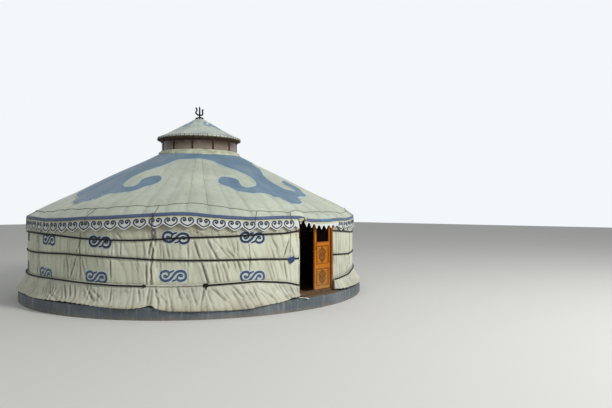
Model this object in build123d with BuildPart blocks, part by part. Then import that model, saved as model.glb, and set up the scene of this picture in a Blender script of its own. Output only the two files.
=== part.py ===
from build123d import *
import os
from math import asin, cos, degrees, radians, sin, sqrt, tan

# A large round felt tent (yurt) on a low round plinth. Millimetres, +Z up.
# The origin is at the centre of the plinth's underside and the doorway faces -Y.
# Angles go round from the doorway's middle, positive towards +X.

os.makedirs("parts", exist_ok=True)

# Clearances
seat_gap = 0.3          # between a piece and what carries it
leaf_gap = 5.0          # round a door leaf
meeting_gap = 6.0       # between the two leaves

# Plinth and floor
plinth_margin = 18      # how far the plinth reaches past the skirt's hem
plinth_height = 240
plinth_edge = 8
floor_thickness = 40

# Walls
wall_radius = 4000      # outer face of the canvas
wall_height = 1710      # plinth top to eave
cover_thickness = 20    # felt with canvas over it
lattice_thickness = 28  # two layers of slats
slat_width = 36
diamond_width = 300     # pitch of the lattice's openings round the wall
diamond_height = 330
wall_panels = 8
lattice_sections = 4
fields_per_section = 6  # groups of diamonds cut square to the wall

# Skirt that closes the foot of the wall
skirt_thickness = 18
skirt_top = 440         # above the plinth
skirt_bend = 395        # where it leaves the wall
skirt_sections = 4
skirt_flare = 174       # how far the hem stands out from the skirt's upright part
flare_rise = 0.42       # share of the flare's height at its middle point
flare_reach = 0.36      # share of the flare's width at its middle point

# Roof
eave_overhang = 35
roof_thickness = 20
roof_top_margin = 15    # from the drum to the roof's top edge
roof_rise = 1566        # eave to the roof's top edge
roof_sections = 4
pole_count = 60
pole_width = 34
pole_depth = 40

# Doorway
opening_width = 1090    # between the stops
opening_height = 1520   # sill to head
frame_depth = 90
frame_face = 45         # width of a jamb seen from outside, past the stop
stop_width = 12
stop_depth = 45
frame_setback = 35      # from the canvas in to the frame's outer face
sill_height = 80
sill_nosing = 22
sill_chamfer = 6
step_thickness = 30
step_setback = 25       # from the plinth's edge to the step's front corners

# Door leaves
leaf_thickness = 40
stile_width = 50
top_rail = 60
lock_rail = 66
middle_rail = 90
bottom_rail = 70
pane_bottom = 1016      # above the leaf's foot
middle_rail_foot = 451  # above the leaf's foot
glass_thickness = 5
panel_thickness = 14
panel_field = 26
field_margin = 42
hinge_radius = 7
hinge_length = 90
hinge_count = 3
open_angle = 90         # how far the left leaf stands open
pull_height = 945       # above the leaf's foot
pull_length = 130
pull_radius = 7
pull_standoff = 34

# Crown
crown_turn = 11         # turn of the crown's posts against the doorway
crown_inner_radius = 880
crown_outer_radius = 958
crown_depth = 110
spoke_width = 40
drum_overhang = 27      # past the crown ring
drum_wall = 45
post_count = 12
post_width = 36
base_ring_height = 36
post_height = 234
top_ring_height = 26
pane_thickness = 6
collar_width = 90
collar_thickness = 14
collar_lip = 28         # thickness where it is turned up against the drum

# Cap over the crown
cap_overhang = 81       # past the drum
cap_slope = 29          # degrees
cap_thickness = 18
cap_overhang_drop = 40  # how far the rim's underside falls back to the drum
cap_lip = 14
cap_disc_radius = 188
cap_disc_lap = 30       # how far the disc covers the cap's top edge
cap_disc_height = 55

# Finial
finial_rod = 13
stem_radius = 15
finial_height = 340
leg_reach = 112         # from the stem to a leg's foot
leg_top = 62            # above the disc, where the legs leave the stem
leg_fall = 14           # how far a leg's foot lies below the disc's top
leg_bend_out = 0.62     # shares of the leg's reach and rise at its bend
leg_bend_up = 0.72
fork_rise = 118         # above the disc, where the tines leave the stem
tine_out = 98
tine_in = 68
tine_shoulder = 0.8     # share of tine_out where the tine turns upwards
tine_tip_out = 102
tine_rises = (22, 58, 115, 190)
spear_width = 50
spear_length = 120
spear_point = 58

# Trim: valance, band, ropes
valance_thickness = 4
valance_drop = 255
band_height = 58
band_thickness = 4
rope_radius = 13
rope_heights = {"top": 1290, "middle": 870, "bottom": 402}
cord_radius = 5
knot_angle = -37.1      # where the bottom rope is tied
cord_end_angle = -53.5  # where it starts again past the thin cord
scarf_angle = -11.6
scarf_width = 150
scarf_bulk = 44
scarf_length = 120
scarf_fall = 20         # its middle below the rope
scarf_corner = 20
scarf_slot = 6          # angle of the rope's channel through it

# Radii and heights that follow
skirt_inner = wall_radius + seat_gap
skirt_outer = skirt_inner + skirt_thickness
skirt_radius = skirt_outer + skirt_flare
plinth_radius = skirt_radius + plinth_margin
frame_front = wall_radius - frame_setback
drum_radius = crown_outer_radius + drum_overhang
cap_radius = drum_radius + cap_overhang
roof_top_radius = drum_radius + roof_top_margin
plinth_top = plinth_height
eave_height = plinth_top + wall_height
eave_radius = wall_radius + eave_overhang
roof_slope = roof_rise / (eave_radius - roof_top_radius)
roof_angle = degrees(asin(roof_slope / sqrt(1 + roof_slope**2)))
roof_drop = roof_thickness / cos(radians(roof_angle))
pole_drop = (pole_depth + seat_gap) / cos(radians(roof_angle))
frame_half = opening_width / 2 + frame_face
cover_inner = wall_radius - cover_thickness
lattice_outer = cover_inner - seat_gap
lattice_inner = lattice_outer - lattice_thickness
pole_foot_radius = lattice_outer


def radial_plane(angle, origin=(0, 0, 0)):
    """An upright plane through the centre: local x points outwards, local y up."""
    a = radians(angle)
    return Plane(origin=origin, x_dir=(sin(a), -cos(a), 0), z_dir=(-cos(a), -sin(a), 0))


def outwards(angle, distance, height=0):
    """The point at this angle, distance from the centre and height."""
    return (distance * sin(radians(angle)), -distance * cos(radians(angle)), height)


def roof_height(radius):
    """Height of the roof's outer face."""
    return eave_height + (eave_radius - radius) * roof_slope


def beside_door(radius):
    """Angle at which a wall of this inner radius clears the door frame."""
    return degrees(asin((frame_half + seat_gap) / radius))


def turned_ring(outline, start=0, end=360):
    """A ring, or part of one, from an outline of radius and height."""
    with BuildPart() as ring:
        with BuildSketch(radial_plane(start)):
            with BuildLine():
                Polyline(*outline, close=True)
            make_face()
        revolve(axis=Axis.Z, revolution_arc=end - start)
    return ring


def save(piece, name):
    piece.part.label = name
    export_step(piece.part, f"parts/{name}.step")


plate_height = roof_height(pole_foot_radius) - roof_drop - pole_drop - seat_gap
head_height = plinth_top + sill_height + opening_height

# Plinth
with BuildPart() as plinth:
    with BuildSketch():
        Circle(plinth_radius)
    extrude(amount=plinth_height)
    fillet(plinth.edges().group_by(Axis.Z)[-1], plinth_edge)
save(plinth, "plinth")

# Floor boards, cut back behind the door frame
frame_back = frame_front - frame_depth
with BuildPart() as floor_boards:
    with BuildSketch(Plane.XY.offset(plinth_top)):
        Circle(lattice_inner - leaf_gap)
        with Locations((0, -frame_back - frame_depth)):
            Rectangle(2 * frame_half + 2 * leaf_gap, 2 * frame_depth + 2 * seat_gap, mode=Mode.SUBTRACT)
    extrude(amount=floor_thickness)
save(floor_boards, "floor_boards")

# Sill and the step board in front of it
with BuildPart() as door_sill:
    with BuildSketch(Plane.XY.offset(plinth_top)):
        with Locations((0, -frame_back - (frame_depth + sill_nosing) / 2)):
            Rectangle(2 * frame_half, frame_depth + sill_nosing)
    extrude(amount=sill_height)
    chamfer(door_sill.edges().filter_by(Axis.X).group_by(Axis.Z)[-1].sort_by(Axis.Y)[0], sill_chamfer)
save(door_sill, "door_sill")

step_front = sqrt((plinth_radius - step_setback) ** 2 - frame_half**2)
step_back = frame_front + sill_nosing + seat_gap
with BuildPart() as door_step:
    with BuildSketch(Plane.XY.offset(plinth_top)):
        with Locations((0, -(step_front + step_back) / 2)):
            Rectangle(2 * frame_half, step_front - step_back)
    extrude(amount=step_thickness)
save(door_step, "door_step")

# Jambs with a stop that the leaves close against, and the head over them
jamb_foot = plinth_top + sill_height
for side, name in ((-1, "left"), (1, "right")):
    with BuildPart() as door_jamb:
        with BuildSketch(Plane.XY.offset(jamb_foot)):
            with BuildLine():
                Polyline(
                    (side * frame_half, -frame_front),
                    (side * opening_width / 2, -frame_front),
                    (side * opening_width / 2, -frame_front + stop_depth),
                    (side * (opening_width / 2 + stop_width), -frame_front + stop_depth),
                    (side * (opening_width / 2 + stop_width), -frame_back),
                    (side * frame_half, -frame_back),
                    close=True,
                )
            make_face()
        extrude(amount=opening_height)
    save(door_jamb, f"door_jamb_{name}")

with BuildPart() as door_head:
    with BuildSketch(Plane.XY.offset(head_height)):
        with Locations((0, -frame_front + frame_depth / 2)):
            Rectangle(2 * frame_half, frame_depth)
    extrude(amount=plate_height - head_height)
save(door_head, "door_head")

# Door leaves, drawn closed and then turned about their hinges
leaf_width = (opening_width + 2 * stop_width - 2 * leaf_gap - meeting_gap) / 2
leaf_height = opening_height - 2 * leaf_gap
leaf_foot = jamb_foot + leaf_gap
leaf_edge = opening_width / 2 + stop_width - leaf_gap
hinge_x = opening_width / 2 + stop_width - leaf_gap / 2
hinge_y = -frame_back + hinge_radius + seat_gap
opening_inside = leaf_width - 2 * stile_width
lock_rail_foot = pane_bottom - lock_rail
pane_height = leaf_height - top_rail - pane_bottom
middle_panel_foot = middle_rail_foot + middle_rail


def turned_leaf(piece, side, angle):
    """The piece turned inwards about the hinge of this side's leaf."""
    hinge = Axis((side * hinge_x, hinge_y, 0), (0, 0, -side))
    piece.part = piece.part.rotate(hinge, angle)
    return piece


def leaf_plane(side):
    """The leaf's outer face, with local x across the leaf and local y up from its foot."""
    middle = side * (leaf_edge - leaf_width / 2)
    return Plane(origin=(middle, -frame_back - leaf_thickness, leaf_foot), x_dir=(1, 0, 0), z_dir=(0, -1, 0))


for side, name, angle in ((-1, "left", open_angle), (1, "right", 0)):
    outer_face = leaf_plane(side)
    middle_face = outer_face.offset(-leaf_thickness / 2)
    openings = (
        (bottom_rail, middle_rail_foot - bottom_rail),
        (middle_panel_foot, lock_rail_foot - middle_panel_foot),
        (pane_bottom, pane_height),
    )

    with BuildPart() as leaf_frame:
        with BuildSketch(outer_face):
            with Locations((0, leaf_height / 2)):
                Rectangle(leaf_width, leaf_height)
            for foot, height in openings:
                with Locations((0, foot + height / 2)):
                    Rectangle(opening_inside, height, mode=Mode.SUBTRACT)
        extrude(amount=-leaf_thickness)
    save(turned_leaf(leaf_frame, side, angle), f"door_leaf_{name}_frame")

    with BuildPart() as leaf_panels:
        for foot, height in openings[:2]:
            with BuildSketch(middle_face):
                with Locations((0, foot + height / 2)):
                    Rectangle(opening_inside, height)
            extrude(amount=panel_thickness / 2, both=True)
            with BuildSketch(middle_face):
                with Locations((0, foot + height / 2)):
                    Rectangle(opening_inside - 2 * field_margin, height - 2 * field_margin)
            extrude(amount=panel_field / 2, both=True)
    save(turned_leaf(leaf_panels, side, angle), f"door_leaf_{name}_panels")

    with BuildPart() as leaf_pane:
        with BuildSketch(middle_face):
            with Locations((0, pane_bottom + pane_height / 2)):
                Rectangle(opening_inside, pane_height)
        extrude(amount=glass_thickness / 2, both=True)
    save(turned_leaf(leaf_pane, side, angle), f"door_leaf_{name}_pane")

    pull_x = -side * (leaf_width - stile_width) / 2
    with BuildPart() as leaf_pull:
        with BuildSketch(outer_face.offset(pull_standoff)):
            with Locations((pull_x, pull_height)):
                SlotOverall(pull_length, 2 * pull_radius, rotation=90)
        extrude(amount=pull_radius)
        with BuildSketch(outer_face):
            with Locations(*[(pull_x, pull_height + end * (pull_length / 2 - pull_radius)) for end in (-1, 1)]):
                Circle(pull_radius)
        extrude(amount=pull_standoff)
    save(turned_leaf(leaf_pull, side, angle), f"door_leaf_{name}_pull")

with BuildPart() as door_hinges:
    spacing = leaf_height / hinge_count
    for side in (-1, 1):
        for index in range(hinge_count):
            foot = leaf_foot + (index + 0.5) * spacing - hinge_length / 2
            with BuildSketch(Plane.XY.offset(foot)):
                with Locations((side * hinge_x, hinge_y)):
                    Circle(hinge_radius)
            extrude(amount=hinge_length)
save(door_hinges, "door_hinges")

# Wall cover panels, laced edge to edge
wall_start = beside_door(cover_inner)
panel_arc = (360 - 2 * wall_start) / wall_panels
panel_joint = degrees(2 * seat_gap / wall_radius)
cover_top_out = roof_height(wall_radius) - roof_drop - seat_gap
cover_top_in = roof_height(cover_inner) - roof_drop - seat_gap
for index in range(wall_panels):
    start = wall_start + index * panel_arc
    wall_cover = turned_ring(
        [
            (cover_inner, plinth_top),
            (wall_radius, plinth_top),
            (wall_radius, cover_top_out),
            (cover_inner, cover_top_in),
        ],
        start,
        start + panel_arc - panel_joint,
    )
    save(wall_cover, f"wall_cover_{index + 1}")

# Lattice of crossed slats inside the cover, cut as rows of diamonds
lattice_start = beside_door(lattice_inner)
section_arc = (360 - 2 * lattice_start) / lattice_sections
field_arc = section_arc / fields_per_section
lattice_height = plate_height - plinth_top
columns = round(radians(field_arc) * lattice_outer / diamond_width)
pitch = radians(field_arc) * lattice_outer / columns
hole_width = pitch - slat_width * sqrt(2)
hole_height = diamond_height - slat_width * sqrt(2)
rows = int(lattice_height // diamond_height)
foot_margin = (lattice_height - rows * diamond_height) / 2
cut_margin = 2 * lattice_thickness
for index in range(lattice_sections):
    start = lattice_start + index * section_arc
    with BuildPart() as lattice:
        with BuildSketch(radial_plane(start)):
            with BuildLine():
                Polyline(
                    (lattice_inner, plinth_top),
                    (lattice_outer, plinth_top),
                    (lattice_outer, plate_height),
                    (lattice_inner, plate_height),
                    close=True,
                )
            make_face()
        revolve(axis=Axis.Z, revolution_arc=section_arc - panel_joint)
        for field in range(fields_per_section):
            middle = start + (field + 0.5) * field_arc
            face = Plane(
                origin=outwards(middle, lattice_inner - cut_margin, plinth_top + foot_margin),
                x_dir=(cos(radians(middle)), sin(radians(middle)), 0),
                z_dir=(sin(radians(middle)), -cos(radians(middle)), 0),
            )
            spots = [
                ((column + 0.5 - columns / 2) * pitch, (row + 0.5) * diamond_height)
                for column in range(columns)
                for row in range(rows)
            ]
            spots += [
                ((column - columns / 2) * pitch, (row + 1) * diamond_height)
                for column in range(1, columns)
                for row in range(rows - 1)
            ]
            with BuildSketch(face):
                with Locations(*spots):
                    Polygon(
                        (-hole_width / 2, 0), (0, -hole_height / 2), (hole_width / 2, 0), (0, hole_height / 2)
                    )
            extrude(amount=2 * cut_margin, mode=Mode.SUBTRACT)
    save(lattice, f"lattice_{index + 1}")

# Skirt round the foot of the wall, flaring out to the plinth's edge
skirt_start = beside_door(skirt_inner)
skirt_arc = (360 - 2 * skirt_start) / skirt_sections
hem_height = plinth_top + seat_gap
bend_height = plinth_top + skirt_bend
flare_height = plinth_top + skirt_bend * flare_rise
flare_radius = skirt_outer + (skirt_radius - skirt_outer) * flare_reach
for index in range(skirt_sections):
    start = skirt_start + index * skirt_arc
    with BuildPart() as skirt:
        with BuildSketch(radial_plane(start)):
            with BuildLine():
                Polyline((skirt_inner, bend_height), (skirt_inner, plinth_top + skirt_top),
                         (skirt_outer, plinth_top + skirt_top), (skirt_outer, bend_height))
                ThreePointArc((skirt_outer, bend_height), (flare_radius, flare_height), (skirt_radius, hem_height))
                Line((skirt_radius, hem_height), (skirt_radius - skirt_thickness, hem_height))
                ThreePointArc(
                    (skirt_radius - skirt_thickness, hem_height),
                    (flare_radius - skirt_thickness, flare_height),
                    (skirt_inner, bend_height),
                )
            make_face()
        revolve(axis=Axis.Z, revolution_arc=skirt_arc - panel_joint)
    save(skirt, f"skirt_{index + 1}")

# Roof cover, in sectors laced along their edges
roof_arc = 360 / roof_sections
roof_joint = degrees(2 * seat_gap / roof_top_radius)
for index in range(roof_sections):
    start = index * roof_arc + roof_arc / 2
    roof_cover = turned_ring(
        [
            (eave_radius, eave_height),
            (roof_top_radius, roof_height(roof_top_radius)),
            (roof_top_radius, roof_height(roof_top_radius) - roof_drop),
            (eave_radius, eave_height - roof_drop),
        ],
        start,
        start + roof_arc - roof_joint,
    )
    save(roof_cover, f"roof_cover_{index + 1}")

# Roof poles from the lattice's head up to the crown ring
pole_head_radius = crown_outer_radius + seat_gap
with BuildPart() as roof_poles:
    for index in range(pole_count):
        angle = (index + 0.5) * 360 / pole_count
        foot = pole_foot_radius * cos(asin(pole_width / 2 / pole_foot_radius)) - seat_gap
        with BuildSketch(radial_plane(angle)):
            with BuildLine():
                Polyline(
                    (foot, roof_height(foot) - roof_drop - seat_gap),
                    (pole_head_radius, roof_height(pole_head_radius) - roof_drop - seat_gap),
                    (pole_head_radius, roof_height(pole_head_radius) - roof_drop - pole_drop),
                    (foot, roof_height(foot) - roof_drop - pole_drop),
                    close=True,
                )
            make_face()
        extrude(amount=pole_width / 2, both=True)
save(roof_poles, "roof_poles")

# Crown ring that the poles lean on, with crossed spokes
crown_top = roof_height(pole_head_radius) - roof_drop - seat_gap
crown_foot = crown_top - crown_depth
with BuildPart() as crown_ring:
    with BuildSketch(Plane.XY.offset(crown_foot)):
        Circle(crown_outer_radius)
        Circle(crown_inner_radius, mode=Mode.SUBTRACT)
    extrude(amount=crown_depth)
    with BuildSketch(Plane.XY.offset(crown_top - crown_depth / 2)):
        for turn in (0, 45, 90, 135):
            with Locations(Location((0, 0, 0), turn + crown_turn)):
                Rectangle(2 * crown_inner_radius + spoke_width, spoke_width)
    extrude(amount=spoke_width)
save(crown_ring, "crown_ring")

# Drum: a base ring and a top ring on short posts, with panes between the posts
drum_inner = drum_radius - drum_wall
with BuildPart() as crown_base_ring:
    with BuildSketch(Plane.XY.offset(crown_top)):
        Circle(drum_radius)
        Circle(drum_inner, mode=Mode.SUBTRACT)
    extrude(amount=base_ring_height)
save(crown_base_ring, "crown_base_ring")

post_foot = crown_top + base_ring_height
post_centre = drum_radius - drum_wall / 2
post_step = 360 / post_count
with BuildPart() as crown_posts:
    for index in range(post_count):
        face = radial_plane(crown_turn + index * post_step, (0, 0, post_foot))
        with BuildSketch(face):
            with Locations((post_centre, post_height / 2)):
                Rectangle(post_width, post_height)
        extrude(amount=post_width / 2, both=True)
save(crown_posts, "crown_posts")

pane_half_arc = post_step / 2 - degrees((post_width / 2 + seat_gap) / (post_centre - post_width / 2))
with BuildPart() as crown_panes:
    for index in range(post_count):
        start = crown_turn + (index + 0.5) * post_step - pane_half_arc
        with BuildSketch(radial_plane(start, (0, 0, post_foot))):
            with Locations((post_centre, post_height / 2)):
                Rectangle(pane_thickness, post_height)
        revolve(axis=Axis.Z, revolution_arc=2 * pane_half_arc)
save(crown_panes, "crown_panes")

# Rim that carries the cap: it overhangs the drum and its underside slopes back
cap_fall = tan(radians(cap_slope))
cap_drop = cap_thickness / cos(radians(cap_slope))
top_ring_foot = post_foot + post_height
rim_foot = top_ring_foot + top_ring_height
rim_lip = rim_foot + cap_overhang_drop
cap_edge = rim_lip + cap_lip + cap_drop + seat_gap


def cap_height(radius):
    """Height of the cap's outer face."""
    return cap_edge + (cap_radius - radius) * cap_fall


crown_top_ring = turned_ring(
    [
        (drum_inner, top_ring_foot),
        (drum_radius, top_ring_foot),
        (drum_radius, rim_foot - seat_gap),
        (drum_inner, rim_foot - seat_gap),
    ]
)
save(crown_top_ring, "crown_top_ring")

cap_rim = turned_ring(
    [
        (drum_inner, rim_foot),
        (drum_radius, rim_foot),
        (cap_radius - seat_gap, rim_lip),
        (cap_radius - seat_gap, cap_height(cap_radius - seat_gap) - cap_drop - seat_gap),
        (drum_inner, cap_height(drum_inner) - cap_drop - seat_gap),
    ]
)
save(cap_rim, "cap_rim")

cap_top_radius = cap_disc_radius - cap_disc_lap
cap_cover = turned_ring(
    [
        (cap_radius, cap_edge),
        (cap_top_radius, cap_height(cap_top_radius)),
        (cap_top_radius, cap_height(cap_top_radius) - cap_drop),
        (cap_radius, cap_edge - cap_drop),
    ]
)
save(cap_cover, "cap_cover")

# Low dome that closes the cap and carries the finial
disc_foot = cap_height(cap_disc_radius) + seat_gap
disc_under = cap_height(cap_top_radius) + seat_gap
disc_top = disc_under + cap_disc_height
with BuildPart() as cap_disc:
    with BuildSketch(radial_plane(0)):
        with BuildLine():
            Polyline((0, disc_top), (0, disc_under), (cap_top_radius, disc_under), (cap_disc_radius, disc_foot))
            TangentArc((0, disc_top), (cap_disc_radius, disc_foot), tangent=(1, 0))
        make_face()
    revolve(axis=Axis.Z)
save(cap_disc, "cap_disc")

# Iron finial: four bent legs, a stem, two curled tines and a spear between them
spear_tip = disc_top + finial_height
spear_foot = spear_tip - spear_length
fork_height = disc_top + fork_rise
with BuildPart() as finial:
    with BuildSketch(Plane.XY.offset(disc_top)):
        Circle(stem_radius)
    extrude(amount=finial_height - spear_length / 2)
    for angle in range(45, 405, 90):
        with BuildLine(radial_plane(angle)) as leg_path:
            ThreePointArc(
                (0, disc_top + leg_top),
                (leg_reach * leg_bend_out, disc_top + leg_top * leg_bend_up),
                (leg_reach, disc_top - leg_fall),
            )
        with BuildSketch(leg_path.line ^ 0):
            Circle(finial_rod)
        sweep()
    for side in (-1, 1):
        with BuildLine(Plane.XZ) as tine_path:
            Spline(
                (0, fork_height),
                (side * tine_out * tine_shoulder, fork_height + tine_rises[0]),
                (side * tine_out, fork_height + tine_rises[1]),
                (side * tine_in, fork_height + tine_rises[2]),
                (side * tine_tip_out, fork_height + tine_rises[3]),
                tangents=((side, 0), (side * tine_shoulder, 1)),
            )
        with BuildSketch(tine_path.line ^ 0):
            Circle(finial_rod)
        sweep()
    with BuildSketch(Plane.XZ):
        with BuildLine():
            Polyline(
                (0, spear_tip),
                (spear_width / 2, spear_tip - spear_point),
                (0, spear_foot),
                (-spear_width / 2, spear_tip - spear_point),
                close=True,
            )
        make_face()
    extrude(amount=finial_rod, both=True)
save(finial, "finial")

# Canvas collar lying on the roof round the drum
collar_inner = drum_radius + seat_gap
collar_outer = collar_inner + collar_width
collar = turned_ring(
    [
        (collar_inner, roof_height(collar_inner) + seat_gap),
        (collar_outer, roof_height(collar_outer) + seat_gap),
        (collar_outer, roof_height(collar_outer) + collar_thickness),
        (collar_inner, roof_height(collar_inner) + collar_lip),
    ]
)
save(collar, "roof_collar")

# Valance hanging from the eave, with a band sewn along its top
valance_inner = eave_radius - valance_thickness
valance_top = eave_height - roof_drop - seat_gap
valance = turned_ring(
    [
        (valance_inner, valance_top - valance_drop),
        (eave_radius, valance_top - valance_drop),
        (eave_radius, valance_top),
        (valance_inner, valance_top),
    ]
)
save(valance, "valance")

band_inner = eave_radius + seat_gap
band_top = eave_height
eave_band = turned_ring(
    [
        (band_inner, band_top - band_height),
        (band_inner + band_thickness, band_top - band_height),
        (band_inner + band_thickness, band_top),
        (band_inner, band_top),
    ]
)
save(eave_band, "eave_band")


# Girth ropes round the wall, from one jamb to the other. The bottom one has its ends
# tied with a thin cord where it is open.
rope_line = wall_radius + seat_gap + rope_radius
low_rope_line = skirt_outer + seat_gap + rope_radius
rope_start = beside_door(rope_line - rope_radius)
cord_joint = degrees(seat_gap / low_rope_line)
whole = [(rope_start, 360 - rope_start)]
tied = [(rope_start, 360 + cord_end_angle), (360 + knot_angle, 360 - rope_start)]
between = [(360 + cord_end_angle + cord_joint, 360 + knot_angle - cord_joint)]
for name, line, height, radius, runs in (
    ("girth_rope_top", rope_line, rope_heights["top"], rope_radius, whole),
    ("girth_rope_middle", rope_line, rope_heights["middle"], rope_radius, whole),
    ("girth_rope_bottom", low_rope_line, rope_heights["bottom"], rope_radius, tied),
    ("lashing_cord", low_rope_line, rope_heights["bottom"], cord_radius, between),
):
    with BuildPart() as rope:
        for start, end in runs:
            with BuildSketch(radial_plane(start)):
                with Locations((line, plinth_top + height)):
                    Circle(radius)
            revolve(axis=Axis.Z, revolution_arc=end - start)
    save(rope, name)

# Scarf gathered over the middle rope beside the doorway
middle_rope = plinth_top + rope_heights["middle"]
with BuildPart() as scarf:
    scarf_plane = Plane(
        origin=outwards(scarf_angle, wall_radius + scarf_bulk / 2 + seat_gap, middle_rope - scarf_fall),
        x_dir=(cos(radians(scarf_angle)), sin(radians(scarf_angle)), 0),
        z_dir=(0, 0, 1),
    )
    with BuildSketch(scarf_plane.offset(-scarf_length / 2)):
        RectangleRounded(scarf_width, scarf_bulk, scarf_corner)
    extrude(amount=scarf_length)
    with BuildSketch(radial_plane(scarf_angle - scarf_slot / 2)):
        with Locations((rope_line, middle_rope)):
            Circle(rope_radius + seat_gap)
    revolve(axis=Axis.Z, revolution_arc=scarf_slot, mode=Mode.SUBTRACT)
save(scarf, "scarf")
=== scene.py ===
# %% [markdown]
# # A large felt tent, modelled as cloth over a frame
#
# The real tent is a ring of crossed slats, a cone of poles and a crown, dressed in felt and
# canvas and tied round with three ropes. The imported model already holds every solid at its
# true place, so this script only gives the tent its looks. Cloth could be simulated, but the
# folds of a tent wall follow from a few rules: it hangs straight, ropes pinch it, and seams
# gather it. So each cloth face here is one function of angle and height, and everything that
# is sewn to the cloth asks the same function where to lie.

# %% Load the frame
import math

import bpy
import numpy as np
from mathutils import Matrix, Vector
from mathutils.geometry import delaunay_2d_cdt


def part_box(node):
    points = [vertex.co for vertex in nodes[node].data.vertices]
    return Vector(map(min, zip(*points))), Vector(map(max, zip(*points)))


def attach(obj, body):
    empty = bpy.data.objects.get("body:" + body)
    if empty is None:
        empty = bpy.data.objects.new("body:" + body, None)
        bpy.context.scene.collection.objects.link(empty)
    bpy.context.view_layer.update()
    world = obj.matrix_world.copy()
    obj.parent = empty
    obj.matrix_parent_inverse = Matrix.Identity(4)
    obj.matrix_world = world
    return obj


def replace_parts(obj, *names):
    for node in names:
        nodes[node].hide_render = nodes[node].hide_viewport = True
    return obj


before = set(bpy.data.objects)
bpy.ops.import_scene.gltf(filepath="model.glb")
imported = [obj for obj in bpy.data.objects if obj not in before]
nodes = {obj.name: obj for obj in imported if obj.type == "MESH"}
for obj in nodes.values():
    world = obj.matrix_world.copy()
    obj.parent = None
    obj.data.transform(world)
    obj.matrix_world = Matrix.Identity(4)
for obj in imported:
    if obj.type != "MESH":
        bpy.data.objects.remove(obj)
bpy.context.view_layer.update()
scene = bpy.context.scene
PLINTH_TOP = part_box("plinth")[1].z
print("nodes:", len(nodes), " plinth top:", round(PLINTH_TOP, 3), "m")

# %% [markdown]
# ## Angles and heights
#
# A point of the tent is an angle from the doorway's middle, a height above the plinth and a
# distance from the centre. Angles grow towards +X, and the doorway faces -Y. Hand-pitched
# cloth is never level: the eave and the ropes rise and fall as one walks round. Their
# heights are kept as a few marks, in degrees and millimetres, and softened between them.

# %% Places round the tent
WALL_RADIUS = 4.0
EAVE_RADIUS = 4.035
CROWN_EDGE = 1.0
EAVE_HEIGHT = 1.71
ROOF_SLOPE = 1.566 / (EAVE_RADIUS - CROWN_EDGE)
TURN = 2 * math.pi

EAVE_MARKS = [(-160, 1715), (-140, 1700), (-120, 1672), (-104, 1655), (-97, 1660), (-90, 1634), (-84, 1638),
              (-78, 1655), (-72, 1682), (-66, 1692), (-60, 1716), (-55, 1738), (-50, 1757), (-46, 1773),
              (-43, 1777), (-40, 1766), (-36, 1732), (-31, 1706), (-25, 1680), (-20, 1688), (-15, 1700),
              (-9, 1696), (-7.4, 1684), (-5.6, 1640), (-3, 1620), (1, 1617), (5, 1616), (9, 1634),
              (13, 1636), (18, 1627), (24, 1650), (35, 1690), (55, 1715), (75, 1690), (95, 1722),
              (120, 1700), (150, 1730), (180, 1695)]
TOP_ROPE = [(-150, 1265), (-125, 1300), (-100, 1323), (-84, 1300), (-72, 1253), (-63, 1237), (-57, 1236),
            (-51.6, 1252), (-43, 1288), (-30, 1306), (-21.7, 1334), (-13.7, 1343), (-8.7, 1383),
            (9.2, 1354), (26, 1278), (60, 1250), (95, 1290), (130, 1260), (160, 1300), (180, 1285)]
MIDDLE_ROPE = [(-140, 900), (-98, 907), (-79, 940), (-69, 921), (-57.6, 896), (-52, 874), (-41.6, 856),
               (-27.6, 849), (-20, 841), (-12.5, 815), (-9, 812), (8.7, 818), (22.7, 764), (50, 800),
               (90, 850), (130, 880), (180, 885)]
BOTTOM_ROPE = [(-140, 400), (-102, 400), (-86, 423), (-78, 412), (-69, 393), (-62, 378), (-53.5, 375),
               (-37, 379), (-27.6, 403), (-23, 413), (-17, 373), (-12.4, 330), (-8.4, 254), (8.4, 265),
               (20, 300), (26.4, 350), (40, 380), (80, 385), (120, 410), (150, 390), (180, 385)]
HEM_MARKS = [(-150, 12), (-120, -10), (-98, 24), (-92, 8), (-85, 15), (-76, 28), (-70, 12), (-65, -8),
             (-61, -20), (-57, -24), (-54, -10), (-52.2, 14), (-51.4, 44), (-50.4, 8), (-49, -28),
             (-46, -62), (-42, -71), (-37, -75), (-31, -82), (-26, -78), (-22, -38), (-16, -6), (-13, 26),
             (-10, 24), (8.6, 58), (13, 34), (21, 26), (40, 10), (55, -35), (70, 8), (95, -30), (120, 12),
             (150, -25), (180, 10)]


def level(marks, angle, soften=1.2):
    """The height in metres at each angle in radians, from marks in degrees and millimetres."""
    at, height = np.array(sorted(marks), float).T
    spread = np.degrees(angle)[..., None] + np.linspace(-soften, soften, 7)
    return np.interp(spread, at, height, period=360).mean(-1) / 1000


def place(angle, radius, height):
    """Points in the model's frame, from angle, distance from the centre and height above the plinth."""
    angle, radius, height = np.broadcast_arrays(angle, radius, height)
    return np.stack([radius * np.sin(angle), -radius * np.cos(angle), height + PLINTH_TOP], -1)


probe = np.radians(np.array([-90, -43, 0, 25]))
print("eave above the plinth at -90, -43, 0, 25 degrees:", level(EAVE_MARKS, probe).round(3))

# %% [markdown]
# ## Folds from waves
#
# A fold is a sine wave that has lost its symmetry. The absolute value of a sine gives wide
# ridges with narrow valleys between them, which is what loosely hung canvas does. Its phase
# wanders with a few slow waves, so that no two pleats are the same, and it leans as the
# cloth is pulled sideways. Noise textures could displace a fine mesh instead, but then
# nothing else would know where the surface went.

# %% Waves and pleats


def wave_set(seed, count, fewest, most, lean):
    """Waves round the tent: cycles per turn, phase, how much they shift with height, and weight."""
    draw = np.random.default_rng(seed)
    return np.stack([draw.integers(fewest, most, count), draw.uniform(0, TURN, count),
                     draw.normal(0, lean, count), draw.uniform(0.5, 1, count)], 1)


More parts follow.
